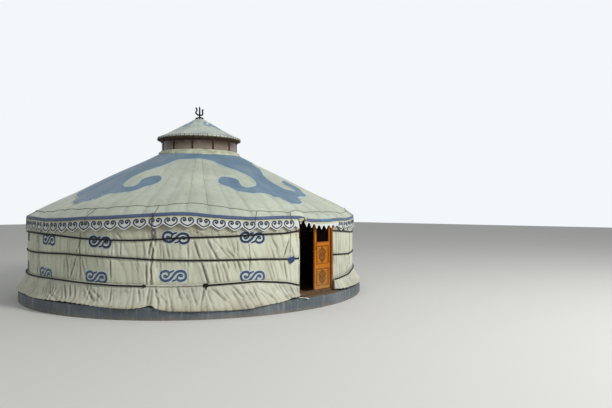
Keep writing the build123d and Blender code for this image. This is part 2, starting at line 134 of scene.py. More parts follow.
def waves(angle, height, which):
    """The sum of a set of waves, scaled to swing between about -1 and 1."""
    total = 0
    for cycles, phase, lean, weight in which:
        total = total + weight * np.sin(cycles * angle + phase + lean * height)
    return total / which[:, 3].sum() * 1.6


def pleats(angle, height, count, lean, wander, sharpness=0.65):
    """Soft pleats from 0 in a valley to 1 on a ridge. lean is the sideways pull per metre of height."""
    phase = count * (angle - lean * height / WALL_RADIUS) + 3.0 * waves(angle, height, wander)
    return np.abs(np.sin(phase / 2)) ** sharpness


SWELLS = wave_set(3, 9, 6, 40, 1.6)
WANDER = wave_set(5, 8, 9, 55, 2.2)
WANDER_FINE = wave_set(8, 9, 20, 110, 4.0)
STRENGTH = wave_set(13, 7, 7, 45, 1.0)
RIPPLES = wave_set(21, 12, 120, 320, 6.0)
WALL_PLEATS = 142
FINE_PLEATS = 318
SEAMS = np.radians(np.array([-137.1, -94.3, -73.6, -51.4, -24.9, -11.6, 24, 51.4, 72, 94.3, 115, 137.1, 158,
                             180]))
SEAM_DEPTH = np.array([9, 9, 4, 12, 4, 3, 4, 9, 4, 9, 4, 9, 4, 9]) / 1000


def pull(angle):
    """How far the wall's pleats lean, which changes along the wall."""
    return -0.20 + 0.16 * np.sin(4 * angle + 0.6) + 0.12 * np.sin(9 * angle + 2.0)


def turn_between(a, b):
    """The smallest turn from b to a, in radians."""
    return (a - b + math.pi) % TURN - math.pi


print("pleat spacing:", round(TURN * WALL_RADIUS / WALL_PLEATS * 1000), "mm and",
      round(TURN * WALL_RADIUS / FINE_PLEATS * 1000), "mm")

# %% [markdown]
# ## Creases
#
# Over the waves lie creases: sharp valleys with a soft ridge on each side, as long as a hand
# or an arm. The deepest ones that the photograph shows are listed one by one. The rest are
# drawn from a seed, and start at a rope, because that is where the cloth is caught.

# %% Creases of the wall
STRONG_FOLDS = [(-96, 1.30, -96, 0.95, 10), (-98, 0.82, -99, 0.45, 9), (-78.5, 1.25, -78.5, 1.0, 9),
                (-79, 0.9, -78, 0.45, 14), (-73, 1.25, -75, 1.0, 10), (-75, 0.9, -77.5, 0.45, 10),
                (-73, 0.87, -71.5, 0.47, 11), (-63, 1.2, -63, 0.95, 8), (-63.3, 0.88, -63.3, 0.47, 10),
                (-60.4, 1.2, -60.3, 0.95, 9), (-51.8, 1.2, -52.5, 0.92, 10), (-50.5, 1.22, -51.6, 0.92, 10),
                (-53, 0.83, -53, 0.42, 10), (-51.8, 0.82, -51.8, 0.42, 9), (-49.3, 0.8, -49.3, 0.55, 8),
                (-49.4, 1.2, -49.2, 0.9, 8), (-47.8, 1.2, -46.9, 0.9, 9), (-42, 1.2, -41.8, 0.9, 9),
                (-40.3, 1.22, -38.7, 0.88, 14), (-36.6, 1.22, -34, 0.88, 13), (-34.8, 1.23, -30.4, 0.88, 9),
                (-42, 0.82, -42, 0.45, 9), (-38.3, 0.82, -36.5, 0.42, 15), (-34.5, 0.82, -33.2, 0.43, 11),
                (-32.7, 0.82, -31, 0.43, 10), (-31.5, 1.05, -29.3, 0.9, 13), (-28.3, 0.82, -27.2, 0.6, 14),
                (-28.4, 1.2, -28.3, 1.0, 8), (-18, 1.25, -16, 1.03, 8), (-12.2, 1.2, -14, 0.86, 12),
                (-18.5, 0.77, -17, 0.43, 9), (-14, 0.78, -12.8, 0.4, 12), (-41, 1.52, -34.7, 1.36, 16),
                (-40.7, 1.44, -38.2, 1.34, 10), (-62, 1.42, -60.5, 1.3, 10), (-33, 1.5, -27, 1.36, 11),
                (-27, 1.48, -22, 1.37, 9)]


def crease_lines(marks):
    """Lines from marks: the angle in degrees and height of both ends, and the depth in millimetres."""
    return [[math.radians(a), b, math.radians(c), d, depth / 1000] for a, b, c, d, depth in marks]


draw = np.random.default_rng(91)
CREASES = crease_lines(STRONG_FOLDS)
for marks in (TOP_ROPE, MIDDLE_ROPE, BOTTOM_ROPE):
    for start in np.radians(draw.uniform(-180, 180, 130)):
        rope = float(level(marks, np.array(start)))
        reach = draw.choice([-1, 1]) * draw.uniform(0.14, 0.36)
        lean = (float(pull(start)) + draw.normal(0, 0.06)) * reach / WALL_RADIUS
        CREASES.append([start, rope, start + lean, rope + reach, draw.uniform(0.003, 0.008)])


def creases(angle, height, lines):
    """The sum of creases, in metres: each a valley along a line, with a lower ridge on each side."""
    total = np.zeros(np.broadcast(angle, height).shape)
    angle, height = np.broadcast_to(angle, total.shape), np.broadcast_to(height, total.shape)
    for a, b, c, d, depth in lines:
        middle, half = (b + d) / 2, abs(b - d) / 2
        part = np.clip((height - b) / (d - b), 0, 1)
        aside = turn_between(angle, a + (c - a) * part) * WALL_RADIUS
        aside = aside * abs(d - b) / math.hypot(d - b, (c - a) * WALL_RADIUS)
        close = (np.abs(aside) < 0.2) & (np.abs(height - middle) < half + 0.12)
        aside = aside[close]
        beyond = np.abs(height[close] - middle) - half * 0.6
        fade = np.exp(-np.clip(beyond / (half * 0.4 + 0.02), 0, None) ** 2)
        width = 0.010 + 0.9 * depth
        ridges = 0.6 * np.exp(-(((np.abs(aside) - 1.9 * width) / (1.1 * width)) ** 2))
        total[close] += depth * fade * (ridges - np.exp(-((aside / width) ** 2)))
    return total


print("creases in the wall:", len(CREASES))

# %% [markdown]
# ## The wall's outer face
#
# The wall's radius at a place is the hoop of slats behind it plus the cloth's own shape. The
# ropes pinch it and gather small pleats above and below themselves, the cloth swells between
# them, and each vertical seam draws in a narrow valley. Where a stiff patch is sewn on, the
# cloth lies flatter, so the scroll patches calm the folds round them.

# %% Radius of the wall
SCROLLS = [(-23.9, 0.508, -24, 1.273), (-45.8, 0.565, -45.1, 1.290), (-68, 0.519, -66.8, 1.196),
           (-89.5, 0.505, -87.8, 1.199)]
for seam in (-137.1, -180, 137.1, 94.3, 51.4):
    for at in (seam + 6, seam + 27.4):
        SCROLLS.append((at, 0.53 + 0.03 * math.sin(seam), at + 0.5, 1.24 + 0.05 * math.sin(at)))
SCROLLS.append((41, 0.52, 41.5, 1.25))
# In metres: the wall's radius without folds and at its least, the folds' depth and a rope's pinch.
HOOP_FACE = 3.996
LOWEST_FACE = 3.991
BROAD_FOLD, FINE_FOLD = 0.017, 0.009
PINCH_WIDTH, PINCH_REACH = 0.040, 0.15
# A crease is this many times as deep as its mark.
CREASE_GAIN = 1.3


def wall_face(angle, height):
    """Distance of the wall's outer face from the centre."""
    angle, height = np.broadcast_arrays(np.asarray(angle, float), np.asarray(height, float))
    pinch = near = 0
    for marks in (TOP_ROPE, MIDDLE_ROPE, BOTTOM_ROPE):
        gap = height - level(marks, angle)
        pinch = pinch + np.exp(-((gap / PINCH_WIDTH) ** 2))
        near = near + np.exp(-np.abs(gap) / PINCH_REACH)
    near = np.clip(near, 0, 1.2)
    gather = valley = 0
    for seam, depth in zip(SEAMS, SEAM_DEPTH):
        away = turn_between(angle, seam) * WALL_RADIUS
        valley = valley + depth * np.exp(-((away / 0.022) ** 2))
        gather = gather + depth / 0.012 * np.exp(-((away / 0.16) ** 2))
    calm = 1
    for scroll_at in SCROLLS:
        for column, row in (scroll_at[:2], scroll_at[2:]):
            aside = turn_between(angle, math.radians(column)) * WALL_RADIUS / 0.32
            calm = calm - 0.75 * np.exp(-(aside**4) - ((height - row) / 0.19) ** 4)
    strength = np.clip(0.62 + 0.5 * waves(angle, height, STRENGTH), 0.15, 1.2)
    broad = pleats(angle, height - 0.8, WALL_PLEATS, pull(angle), WANDER)
    fine = pleats(angle, height - 0.8, FINE_PLEATS, 1.6 * pull(angle), WANDER_FINE, 0.8)
    folds = (BROAD_FOLD * broad * (0.45 + 0.55 * near) * strength
             + FINE_FOLD * fine * np.clip(near + gather - 0.25, 0, 1.2) * strength
             + 0.010 + CREASE_GAIN * creases(angle, height, CREASES)) * calm
    pinch = np.clip(pinch, 0, 1)
    swell = (0.005 + 0.009 * waves(angle, height, SWELLS)) * (1 - pinch)
    held_in = np.clip((height - level(BOTTOM_ROPE, angle) + 0.16) / 0.12, 0, 1)
    face = HOOP_FACE + (folds * (1 - 0.55 * pinch) + swell) * held_in - valley * (0.3 + 0.7 * held_in)
    return np.maximum(face, LOWEST_FACE)


sample = wall_face(np.linspace(0, TURN, 2000)[None], np.linspace(0.5, 1.6, 60)[:, None])
print("wall face from", sample.min().round(4), "to", sample.max().round(4), "m")

# %% [markdown]
# ## The roof's outer face
#
# The roof cloth is a cone that lies on sixty poles. It sags a little between them, lies in
# small wrinkles across them and turns down at the eave, where the poles' ends bend. Its
# height is lifted or dropped with the eave, most at the edge and not at all at the crown, and
# it rises over the door's head. Where one quarter laps the next, whatever is sewn on rises.

# %% Height of the roof
POLES = 60
ROOF_SWELLS = wave_set(31, 8, 5, 28, 1.0)
ROOF_WRINKLES = wave_set(37, 14, 40, 170, 26.0)
ROOF_EDGES = [-42, 48, 137, 228, 318]
ROOF_LAP = math.radians(5.5)
LAP_RISE = 0.009
KNEE_MARKS = [(-180, 1), (-130, .4), (-105, .2), (-82, 1), (10, 1), (40, .7), (180, 1)]


def eave_lift(angle):
    """How far the eave lies above its middle height."""
    return level(EAVE_MARKS, angle) - EAVE_HEIGHT


def roof_face(angle, radius):
    """Height of the roof's outer face above the plinth."""
    angle, radius = np.broadcast_arrays(np.asarray(angle, float), np.asarray(radius, float))
    out = np.clip((radius - CROWN_EDGE) / (EAVE_RADIUS - CROWN_EDGE), 0, 1)
    cone = EAVE_HEIGHT + (EAVE_RADIUS - radius) * ROOF_SLOPE + eave_lift(angle) * out
    bent = np.interp(np.degrees(turn_between(angle, 0)), *zip(*KNEE_MARKS))
    knee = 0.052 * bent * np.exp(-(((radius - 3.62) / 0.42) ** 2))
    knee = knee * np.clip((EAVE_RADIUS - radius) / 0.16, 0, 1)
    dip = 0.040 * np.exp(-(((radius - 1.2) / 0.6) ** 2))
    sag = 0.016 * out * (np.abs(np.sin(POLES / 2 * angle)) ** 0.7 - 0.6)
    swell = 0.015 * waves(angle, radius, ROOF_SWELLS) * out
    wrinkles = 0.0035 * waves(angle, radius, ROOF_WRINKLES) * (0.4 + 1.1 * out**3)
    over_door = (np.clip((math.radians(12) - np.abs(turn_between(angle, 0))) / math.radians(3.2), 0, 1)
                 * np.interp(radius, [3.85, 3.96, 4.012, 4.034], [0, 1, 1, 0]))
    return cone + knee - dip + sag + swell + wrinkles + 0.05 * over_door


def lap_rise(angle):
    """How much the end of each roof quarter stands up, where it lies on the next one."""
    rise = 0
    for end in ROOF_EDGES[1:]:
        past = turn_between(angle, math.radians(end))
        rise = rise + np.clip(past / 0.02 + 1, 0, 1) * np.clip((ROOF_LAP - past) / 0.02 + 1, 0, 1)
    return LAP_RISE * rise


def on_the_roof(angle, radius):
    """Height of whatever is sewn on the roof, which rises over the laps."""
    return roof_face(angle, radius) + lap_rise(angle)


print("roof above the plinth at the crown and the eave:",
      roof_face(probe, 1.0).round(3), roof_face(probe, EAVE_RADIUS).round(3))

# %% [markdown]
# ## Light and camera
#
# The camera stands a little to the left of the doorway and looks past the tent, at a
# standing person's eye level. Its place was found by fitting the tent's rings to the
# photograph. The lights are a pale sky, one wide soft lamp from the right, where the sun
# stood, and a faint one from the left, all weak enough that a colour on the sunny side shows
# about as it is written.

# %% Camera, lamps and floor


def srgb(code):
    """A linear colour from an sRGB hex code."""
    steps = [int(code[i : i + 2], 16) / 255 for i in (0, 2, 4)]
    return tuple(s / 12.92 if s < 0.04045 else ((s + 0.055) / 1.055) ** 2.4 for s in steps) + (1.0,)


def add(tree, kind, inputs=(), **settings):
    """Add a node. inputs maps its sockets to values or to the sockets that feed them."""
    made = tree.nodes.new(kind)
    for name, value in settings.items():
        setattr(made, name, value)
    for key, value in dict(inputs).items():
        if isinstance(value, bpy.types.NodeSocket):
            tree.links.new(value, made.inputs[key])
        else:
            made.inputs[key].default_value = value
    return made


CAMERA_PLACE = Vector((-9.123, -11.306, PLINTH_TOP + 1.852))
CAMERA_HEADING = math.radians(50.07)
CAMERA_PITCH = math.radians(0.4643)
CAMERA_ROLL = math.radians(0.13)
look = Vector((math.sin(CAMERA_HEADING) * math.cos(CAMERA_PITCH),
               math.cos(CAMERA_HEADING) * math.cos(CAMERA_PITCH), math.sin(CAMERA_PITCH)))
camera = bpy.data.objects.new("camera", bpy.data.cameras.new("camera"))
camera.data.lens = 31.79
camera.data.sensor_width = 36
camera.data.sensor_fit = "HORIZONTAL"
camera.rotation_mode = "QUATERNION"
camera.rotation_quaternion = (look.to_track_quat("-Z", "Y").to_matrix()
                              @ Matrix.Rotation(CAMERA_ROLL, 3, "Z")).to_quaternion()
camera.location = CAMERA_PLACE
scene.collection.objects.link(camera)
scene.camera = camera
scene.view_settings.view_transform = "Standard"

LAMPS = {"sun_side": ((1.9, -21.4, 14), 5, 3650), "fill": ((-17, -9, 9), 10, 120)}
for name, (spot, size, watts) in LAMPS.items():
    lamp = bpy.data.objects.new(name, bpy.data.lights.new(name, "AREA"))
    lamp.data.shape, lamp.data.size, lamp.data.energy = "DISK", size, watts
    lamp.location = spot
    lamp.rotation_euler = (Vector((0, 0, 1.5)) - Vector(spot)).to_track_quat("-Z", "Y").to_euler()
    scene.collection.objects.link(lamp)

world = bpy.data.worlds.new("pale_sky")
scene.world = world
world.use_nodes = True
SKY_LIGHT = 0.38
rays = add(world.node_tree, "ShaderNodeLightPath")
seen = add(world.node_tree, "ShaderNodeMath", {0: rays.outputs["Is Camera Ray"],
                                                1: rays.outputs["Is Glossy Ray"]}, operation="MAXIMUM")
seen = add(world.node_tree, "ShaderNodeMath", {0: seen.outputs[0], 1: rays.outputs["Is Transmission Ray"]},
           operation="MAXIMUM")
level_of_sky = add(world.node_tree, "ShaderNodeMapRange", {"Value": seen.outputs[0], "To Min": SKY_LIGHT,
                                                           "To Max": 1.0})
sky = world.node_tree.nodes["Background"]
sky.inputs["Color"].default_value = srgb("F4F7FA")
world.node_tree.links.new(level_of_sky.outputs[0], sky.inputs["Strength"])

floor_mesh = bpy.data.meshes.new("floor")
floor_mesh.from_pydata([(-60, -60, 0), (60, -60, 0), (60, 60, 0), (-60, 60, 0)], [], [(0, 1, 2, 3)])
ground = bpy.data.objects.new("floor", floor_mesh)
scene.collection.objects.link(ground)
plaster = bpy.data.materials.new("pale_plaster")
plaster.use_nodes = True
plaster.node_tree.nodes["Principled BSDF"].inputs["Base Color"].default_value = srgb("DAD9D4")
plaster.node_tree.nodes["Principled BSDF"].inputs["Roughness"].default_value = 0.9
floor_mesh.materials.append(plaster)
print("camera", round(CAMERA_PLACE.xy.length, 2), "m from the centre, lens", camera.data.lens, "mm")

# %% [markdown]
# ## What the surfaces are made of
#
# Most of the tent is cotton canvas over felt: a matt weave, bleached by the sun, stained in
# soft patches and brown with blown sand near the ground. One function layers such stains,
# each with a real size, over a base colour. Image textures would show these too, but they
# stretch at seams, while a pattern on the object's own coordinates runs on from one panel to
# the next. A second function builds the bump from threads, wrinkles or grain of a real size.

# %% Stains, heights and bumps


def finish(name, roughness, **sockets):
    """A new material with its shader set. Returns the material, its node tree and the shader."""
    material = bpy.data.materials.new(name)
    material.use_nodes = True
    shader = material.node_tree.nodes["Principled BSDF"]
    shader.inputs["Roughness"].default_value = roughness
    for socket, value in sockets.items():
        shader.inputs[socket.replace("_", " ")].default_value = value
    return material, material.node_tree, shader


# A noise of scale 1 has soft cells about this wide, in metres.
NOISE_CELL = 0.55


def where(tree, stretch=(1, 1, 1)):
    """The piece's own coordinates, stretched."""
    own = add(tree, "ShaderNodeTexCoord")
    return add(tree, "ShaderNodeMapping", {"Vector": own.outputs["Object"], "Scale": stretch}).outputs[0]


def blotches(tree, size, low, high, stretch=(1, 1, 1)):
    """A mask of soft blotches of about this size in metres: 0 where the noise is under low, 1 over high."""
    noise = add(tree, "ShaderNodeTexNoise", {"Vector": where(tree, stretch), "Scale": NOISE_CELL / size,
                                             "Detail": 4, "Roughness": 0.55})
    return add(tree, "ShaderNodeMapRange", {"Value": noise.outputs["Fac"], "From Min": low,
                                            "From Max": high}).outputs[0]


def falloff(tree, low, high, axis="Z"):
    """A mask from 1 at low to 0 at high, along an axis."""
    apart = add(tree, "ShaderNodeSeparateXYZ", {0: where(tree)})
    return add(tree, "ShaderNodeMapRange", {"Value": apart.outputs[axis], "From Min": low, "From Max": high,
                                            "To Min": 1.0, "To Max": 0.0}).outputs[0]


def by_height(tree, low, high):
    """A mask from 1 at height low to 0 at height high, both in metres above the plinth."""
    return falloff(tree, PLINTH_TOP + low, PLINTH_TOP + high)


def overlap(tree, mask, other):
    """A mask times another mask or an amount."""
    return add(tree, "ShaderNodeMath", {0: mask, 1: other}, operation="MULTIPLY", use_clamp=True).outputs[0]


def over(tree, below, colour, mask, amount=1.0):
    """Lay a colour over another where the mask is 1. A colour is a hex code or a socket."""
    below, colour = (srgb(c) if isinstance(c, str) else c for c in (below, colour))
    return add(tree, "ShaderNodeMix", {0: overlap(tree, mask, amount), 6: below, 7: colour},
               data_type="RGBA").outputs[2]


def stained(tree, colour, *stains):
    """Lay soft stains over a colour. A stain is (colour, size, low, high, amount) and perhaps a stretch."""
    for stain, size, low, high, amount, *stretch in stains:
        colour = over(tree, colour, stain, blotches(tree, size, low, high, *stretch), amount)
    return colour


def dress(tree, shader, colour, *layers):
    """Link a colour, and raise the surface by noise layers: (size, depth) in metres and perhaps a stretch."""
    tree.links.new(colour, shader.inputs["Base Color"])
    below = {}
    for size, depth, *stretch in layers:
        noise = add(tree, "ShaderNodeTexNoise", {"Vector": where(tree, *stretch), "Scale": NOISE_CELL / size,
                                                 "Detail": 3})
        bump = add(tree, "ShaderNodeBump", {"Height": noise.outputs["Fac"], "Distance": depth,
                                            "Strength": 1.0, **below})
        below = {"Normal": bump.outputs[0]}
    if below:
        tree.links.new(below["Normal"], shader.inputs["Normal"])


print("sRGB mid grey as a linear value:", round(srgb("808080")[0], 3))

# %% [markdown]
# ## Canvas
#
# Cotton duck of about 600 g a square metre has threads near 1 mm apart, far too fine to show
# at this distance, so the weave is drawn as 4 mm slubs in the bump. The wall's canvas is
# cream, greyer in the valleys of the folds, where shade is painted in with some sand, brown
# along the skirt, and darker under the valance, where its shadow is painted on. The roof's
# is the same cloth, bleached paler and cooler, with rain streaks that run down the slope and
# painted shade in its valleys. A little sheen gives the soft edge that fibres have.

# %% Canvas of the wall, skirt, roof and cap
SLUB = 0.004


def canvas(name, base, stains, sand=None, streaks=None, folds=None, shade=None, wrinkle=0.006):
    """Woven cotton. folds are (colour, amount) of painted shade with some dust in the fold valleys.
    shade, a painted shadow, and sand are (colour, low, high, amount).
    """
    material, tree, shader = finish(name, 0.88, Sheen_Weight=0.25, Sheen_Roughness=0.5,
                                    Specular_IOR_Level=0.25)
    colour = stained(tree, base, *stains)
    if streaks:
        stain, amount = streaks
        colour = stained(tree, colour, (stain, 0.09, 0.5, 0.72, amount, (1, 1, 0.08)))
    # Painted shade, with some dust, where the cloth lies deeper than the cloth round it.
    if folds:
        stain, amount = folds
        valleys = add(tree, "ShaderNodeAttribute", attribute_name="hollow")
        colour = over(tree, colour, stain, valleys.outputs["Fac"], amount)
    # Painted shadow of the valance: darker towards the eave.
    if shade:
        stain, low, high, amount = shade
        colour = over(tree, colour, stain, by_height(tree, low, high), amount)
    if sand:
        stain, low, high, amount = sand
        reach = overlap(tree, by_height(tree, low, high), blotches(tree, 0.16, 0.3, 0.6))
        colour = over(tree, colour, stain, reach, amount)
        colour = over(tree, colour, stain, by_height(tree, low, low + (high - low) * 0.35), amount * 0.5)
    dress(tree, shader, colour, (SLUB, 0.0006), (0.07, wrinkle, (1, 1, 0.45)))
    return material


# folds on each canvas paints shade, with some sand, into the valleys of its folds.
WALL_CANVAS = canvas("cotton_canvas_wall", "D0D2BB",
                     [("ABAE9E", 0.70, 0.42, 0.66, 0.6), ("E4E4D2", 0.25, 0.52, 0.70, 0.55),
                      ("98957F", 0.10, 0.60, 0.78, 0.45), ("8A8069", 0.035, 0.66, 0.80, 0.4)],
                     sand=("9A8766", 0.0, 0.50, 0.35), streaks=("A29C84", 0.45), folds=("5F5D50", 0.9),
                     # shade is the valance's painted shadow over the top of the wall.
                     shade=("7D7461", 1.50, 1.27, 0.55))
SKIRT_CANVAS = canvas("cotton_canvas_skirt", "CCCDB9",
                      [("A9AA9A", 0.40, 0.42, 0.66, 0.6), ("DEDDCC", 0.15, 0.52, 0.72, 0.5),
                       ("8A8067", 0.08, 0.56, 0.76, 0.55)],
                      sand=("9A8766", -0.10, 0.16, 0.5), folds=("605C4E", 0.85))
ROOF_CANVAS = canvas("cotton_canvas_roof", "C6CDB9",
                     [("A3AC9E", 0.90, 0.40, 0.66, 0.6), ("CFD5C6", 0.35, 0.52, 0.74, 0.5),
                      ("949B8B", 0.12, 0.60, 0.80, 0.4)], streaks=("9FA797", 0.45), folds=("8F978A", 0.6),
                     wrinkle=0.012)
CAP_CANVAS = canvas("cotton_canvas_cap", "C8D0BE",
                    [("98A4A2", 0.30, 0.40, 0.62, 0.7), ("D3DACB", 0.12, 0.52, 0.72, 0.6)])
COLLAR_CANVAS = canvas("cotton_canvas_collar", "C3C8AC", [("96937A", 0.10, 0.42, 0.66, 0.7)], wrinkle=0.012)
print("canvas finishes:", [m.name for m in (WALL_CANVAS, SKIRT_CANVAS, ROOF_CANVAS, CAP_CANVAS)])

# %% [markdown]
# ## Dyed cloth, cord and wood
#
# The ornaments are cut from dyed cotton and sewn on: slate blue on a paler backing on the
# wall, sky blue on the roof. They have faded in patches. The ropes are braided horsehair and
# wool, near black, with no shine. The wood of the door and its frame is painted softwood,
# orange-brown, rubbed pale along the lower edge by feet and blown sand. Wood grain is noise
# stretched along the boards, with the grain about 6 mm apart.

# %% Dyed cloth and cords


def dyed(name, base, faded, worn, size=0.12, roughness=0.85):
    """Dyed cloth or cord, faded in patches and worn in small spots.
    On the silk scarf those patches and spots are painted highlights instead.
    """
    material, tree, shader = finish(name, roughness, Sheen_Weight=0.2, Specular_IOR_Level=0.25)
    colour = stained(tree, base, (faded, size, 0.42, 0.68, 0.6), (worn, size / 5, 0.58, 0.76, 0.45))
    dress(tree, shader, colour, (SLUB, 0.0008), (size / 2, 0.004))
    return material


INK_CLOTH = dyed("dyed_cotton_ink", "2A3448", "39465D", "626C7C")
NAVY_CLOTH = dyed("dyed_cotton_slate", "43536B", "56687E", "7C8A97")
PALE_BACKING = dyed("dyed_cotton_pale_blue", "C3CFD3", "D2DAD8", "ADBAC2")
ROOF_BLUE = dyed("dyed_cotton_sky_blue", "5E7B90", "8199A7", "5F7E9A", 0.35)
ROOF_BORDER = dyed("dyed_cotton_ice_blue", "B7C6C6", "C4CFCB", "A5B5B7", 0.2)
CAP_BLUE = dyed("dyed_cotton_cap_blue", "7995AD", "8FA7B8", "6885A0", 0.15)
BAND_BLUE = dyed("dyed_cotton_band_blue", "52607F", "66738E", "44516F", 0.2)
BUNCH_COTTON = dyed("cotton_bunch_straw", "C4C29C", "D2D0B4", "8E8868", 0.05)
BAND_TEAL = dyed("dyed_cotton_band_teal", "4B6E8C", "5D7F9A", "3F5F7B", 0.2)
STRAP_CLOTH = dyed("wool_strap_grey", "6E665F", "7C746B", "57504A", 0.1)
WHITE_PIPING = dyed("cotton_piping_white", "E6E8E4", "CDD1CD", "B3B6AF", 0.1)
BLACK_ROPE = dyed("horsehair_rope_black", "0E0F12", "1B1B1E", "322F2A", 0.08, 0.95)
BROWN_CORD = dyed("wool_cord_brown", "4A3526", "5B4534", "6E5A44", 0.05, 0.95)
GREY_CORD = dyed("wool_cord_grey", "5E6054", "72746A", "46473C", 0.08, 0.95)
# The scarf's paler patches and spots are painted highlights of the silk's sheen.
BLUE_SCARF = dyed("silk_scarf_blue", "1C3664", "3D6A9E", "B4CCE0", 0.08, 0.45)
THREAD = dyed("sewing_thread_brown", "5C4936", "715D47", "3E3024", 0.02, 0.8)

# %% Painted and bare wood


def wood(name, base, grain, rubbed, along="Z", roughness=0.55, rubbed_to=0.35, dust=0.5, painted_shade=None):
    """Painted or oiled softwood: grain on an axis, rubbed pale at the bottom, maybe painted shade past an X."""
    material, tree, shader = finish(name, roughness, Specular_IOR_Level=0.15)
    long, across = 1.4, 22
    stretch = {"X": (long, across, across), "Y": (across, long, across), "Z": (across, across, long)}[along]
    rings = add(tree, "ShaderNodeTexNoise", {"Vector": where(tree, stretch), "Scale": 5.0, "Detail": 5,
                                             "Distortion": 0.4})
    lines = add(tree, "ShaderNodeMapRange", {"Value": rings.outputs["Fac"], "From Min": 0.45,
                                             "From Max": 0.62})
    colour = over(tree, base, grain, lines.outputs[0], 0.6)
    colour = stained(tree, colour, (rubbed, 0.06, 0.52, 0.75, dust))
    worn = overlap(tree, by_height(tree, 0.0, rubbed_to), blotches(tree, 0.05, 0.25, 0.55))
    colour = over(tree, colour, rubbed, worn, 0.85)
    # Painted shade: the part past an X is painted almost black.
    if painted_shade:
        colour = over(tree, colour, "1A0D08", falloff(tree, *painted_shade, "X"), 0.95)
    dress(tree, shader, colour)
    bump = add(tree, "ShaderNodeBump", {"Height": rings.outputs["Fac"], "Distance": 0.0012, "Strength": 0.6})
    tree.links.new(bump.outputs[0], shader.inputs["Normal"])
    return material


DOOR_WOOD = wood("painted_pine_door", "C0720F", "93520C", "B08C58", rubbed_to=0.62, dust=0.2)
DOOR_PANEL = wood("painted_pine_panel", "C67A18", "9E5C12", "AC8A58", rubbed_to=0.62, dust=0.25)
MOULDING = wood("painted_pine_moulding", "8F5416", "693A0D", "9C7A4C", rubbed_to=0.60, dust=0.3)
CARVED_WOOD = wood("painted_pine_carving", "6E3F12", "4E2B0C", "94652F", rubbed_to=0.30, dust=0.3)
FRAME_WOOD = wood("painted_pine_frame", "94521C", "653310", "A87A48", rubbed_to=0.5)
# The left jamb is red outside; its inner half is painted almost black, as shade in the doorway.
RED_JAMB = wood("painted_pine_red_jamb", "BC4C2C", "8A371D", "B98357", rubbed_to=0.3, painted_shade=(-0.571, -0.577))
HEAD_WOOD = wood("painted_pine_head", "7A3319", "53200E", "A57448", "X")
SILL_WOOD = wood("worn_pine_sill", "4E3D2C", "35271A", "79634A", "X", 0.85, 0.2, 0.6)
FLOOR_WOOD = wood("larch_floor_boards", "7C6142", "5C452D", "8F7654", "Y", 0.7, 0.02, 0.4)
SLAT_WOOD = wood("willow_slats", "A9753F", "835426", "BD9463", "Z", 0.6, 0.02, 0.3)
POLE_WOOD = wood("painted_larch_poles", "B0552A", "833817", "C27A4A", "Z", 0.5, 0.02, 0.2)
CROWN_WOOD = wood("painted_birch_crown", "3A2820", "261810", "5C4636", "X", 0.7, 0.02, 0.4)
RIM_WOOD = wood("weathered_rim_wood", "57483A", "3C2F25", "7C6C5A", "X", 0.8, 0.02, 0.6)
print("wood finishes:", DOOR_WOOD.name, FRAME_WOOD.name, SLAT_WOOD.name)

# %% [markdown]
# ## Painted plinth, iron and glass
#
# The plinth is rendered masonry under blue-grey masonry paint. The paint has run and washed
# off in pale vertical streaks, and sand has dusted its foot. The finial is forged iron,
# black with scale, so it is metal but rough. The panes are thin glass before a dark room,
# and their colours are painted shade: the door's are near black, and the crown's, which are
# dusty, are paler on their lower half and darker above, in the shade of the cap.

# %% Render, iron and glass


def painted_render():
    """Masonry paint that has run and washed off in streaks, with sand along its foot."""
    material, tree, shader = finish("masonry_paint_blue_grey", 0.82)
    colour = stained(tree, "575F64", ("757E84", 0.30, 0.42, 0.66, 0.7),
                     ("969DA0", 0.045, 0.54, 0.72, 0.6, (1, 1, 0.12)),
                     ("454E58", 0.09, 0.56, 0.74, 0.7, (1, 1, 0.35)))
    dusty = overlap(tree, by_height(tree, -0.24, -0.15), blotches(tree, 0.12, 0.30, 0.58))
    colour = over(tree, colour, "8E7B5C", dusty, 0.6)
    dress(tree, shader, colour, (0.012, 0.0015), (0.09, 0.004))
    return material


def glass(name, low_colour, high_colour, low, high, shine, dust):
    """A dusty pane before a dark room, of one colour up to a height and another above it."""
    material, tree, shader = finish(name, 0.2, Specular_IOR_Level=shine)
    colour = over(tree, high_colour, low_colour, by_height(tree, low, high))
    dress(tree, shader, stained(tree, colour, ("8A7F76", 0.08, 0.50, 0.75, dust)))
    return material


PAINTED_RENDER = painted_render()
# The panes' dark colours are painted shade: the crown's darker above under the cap, the door's near black.
CROWN_GLASS = glass("dusty_window_glass_crown", "84786A", "46372B", 3.36, 3.50, 0.2, 0.4)
DOOR_GLASS = glass("dusty_window_glass_door", "0A0604", "060302", 1.1, 1.5, 0.01, 0.0)
IRON, tree, shader = finish("forged_iron_black", 0.6, Metallic=0.4, Specular_IOR_Level=0.2)
dress(tree, shader, stained(tree, "0D0E10", ("2A211B", 0.03, 0.5, 0.7, 0.4)), (0.012, 0.001))
BRASS, tree, shader = finish("worn_brass_pull", 0.4, Metallic=1.0)
dress(tree, shader, stained(tree, "8A6A35", ("4C3A22", 0.02, 0.45, 0.7, 0.7)))
print("other finishes:", PAINTED_RENDER.name, CROWN_GLASS.name, IRON.name)

# %% [markdown]
# ## From numbers to cloth
#
# Each cloth is a thin closed solid: an outer grid of points, an inner grid a few millimetres
# behind it, and a rim that joins them. Columns run round the tent and rows run up, so the
# winding is known and every face points outwards. The map in metres that goes with the
# points lets a pattern follow the cloth. Wherever the cloth lies deeper than the cloth round
# it, a "hollow" value grows, and the canvas is painted darker there: painted shade, with some dust.

# %% Mesh and cloth makers


def set_up(name, mesh, body, slot):
    """A piece that shows a mesh and rides on a body of the frame."""
    piece = bpy.data.objects.new(name, mesh)
    scene.collection.objects.link(piece)
    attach(piece, body)
    return piece


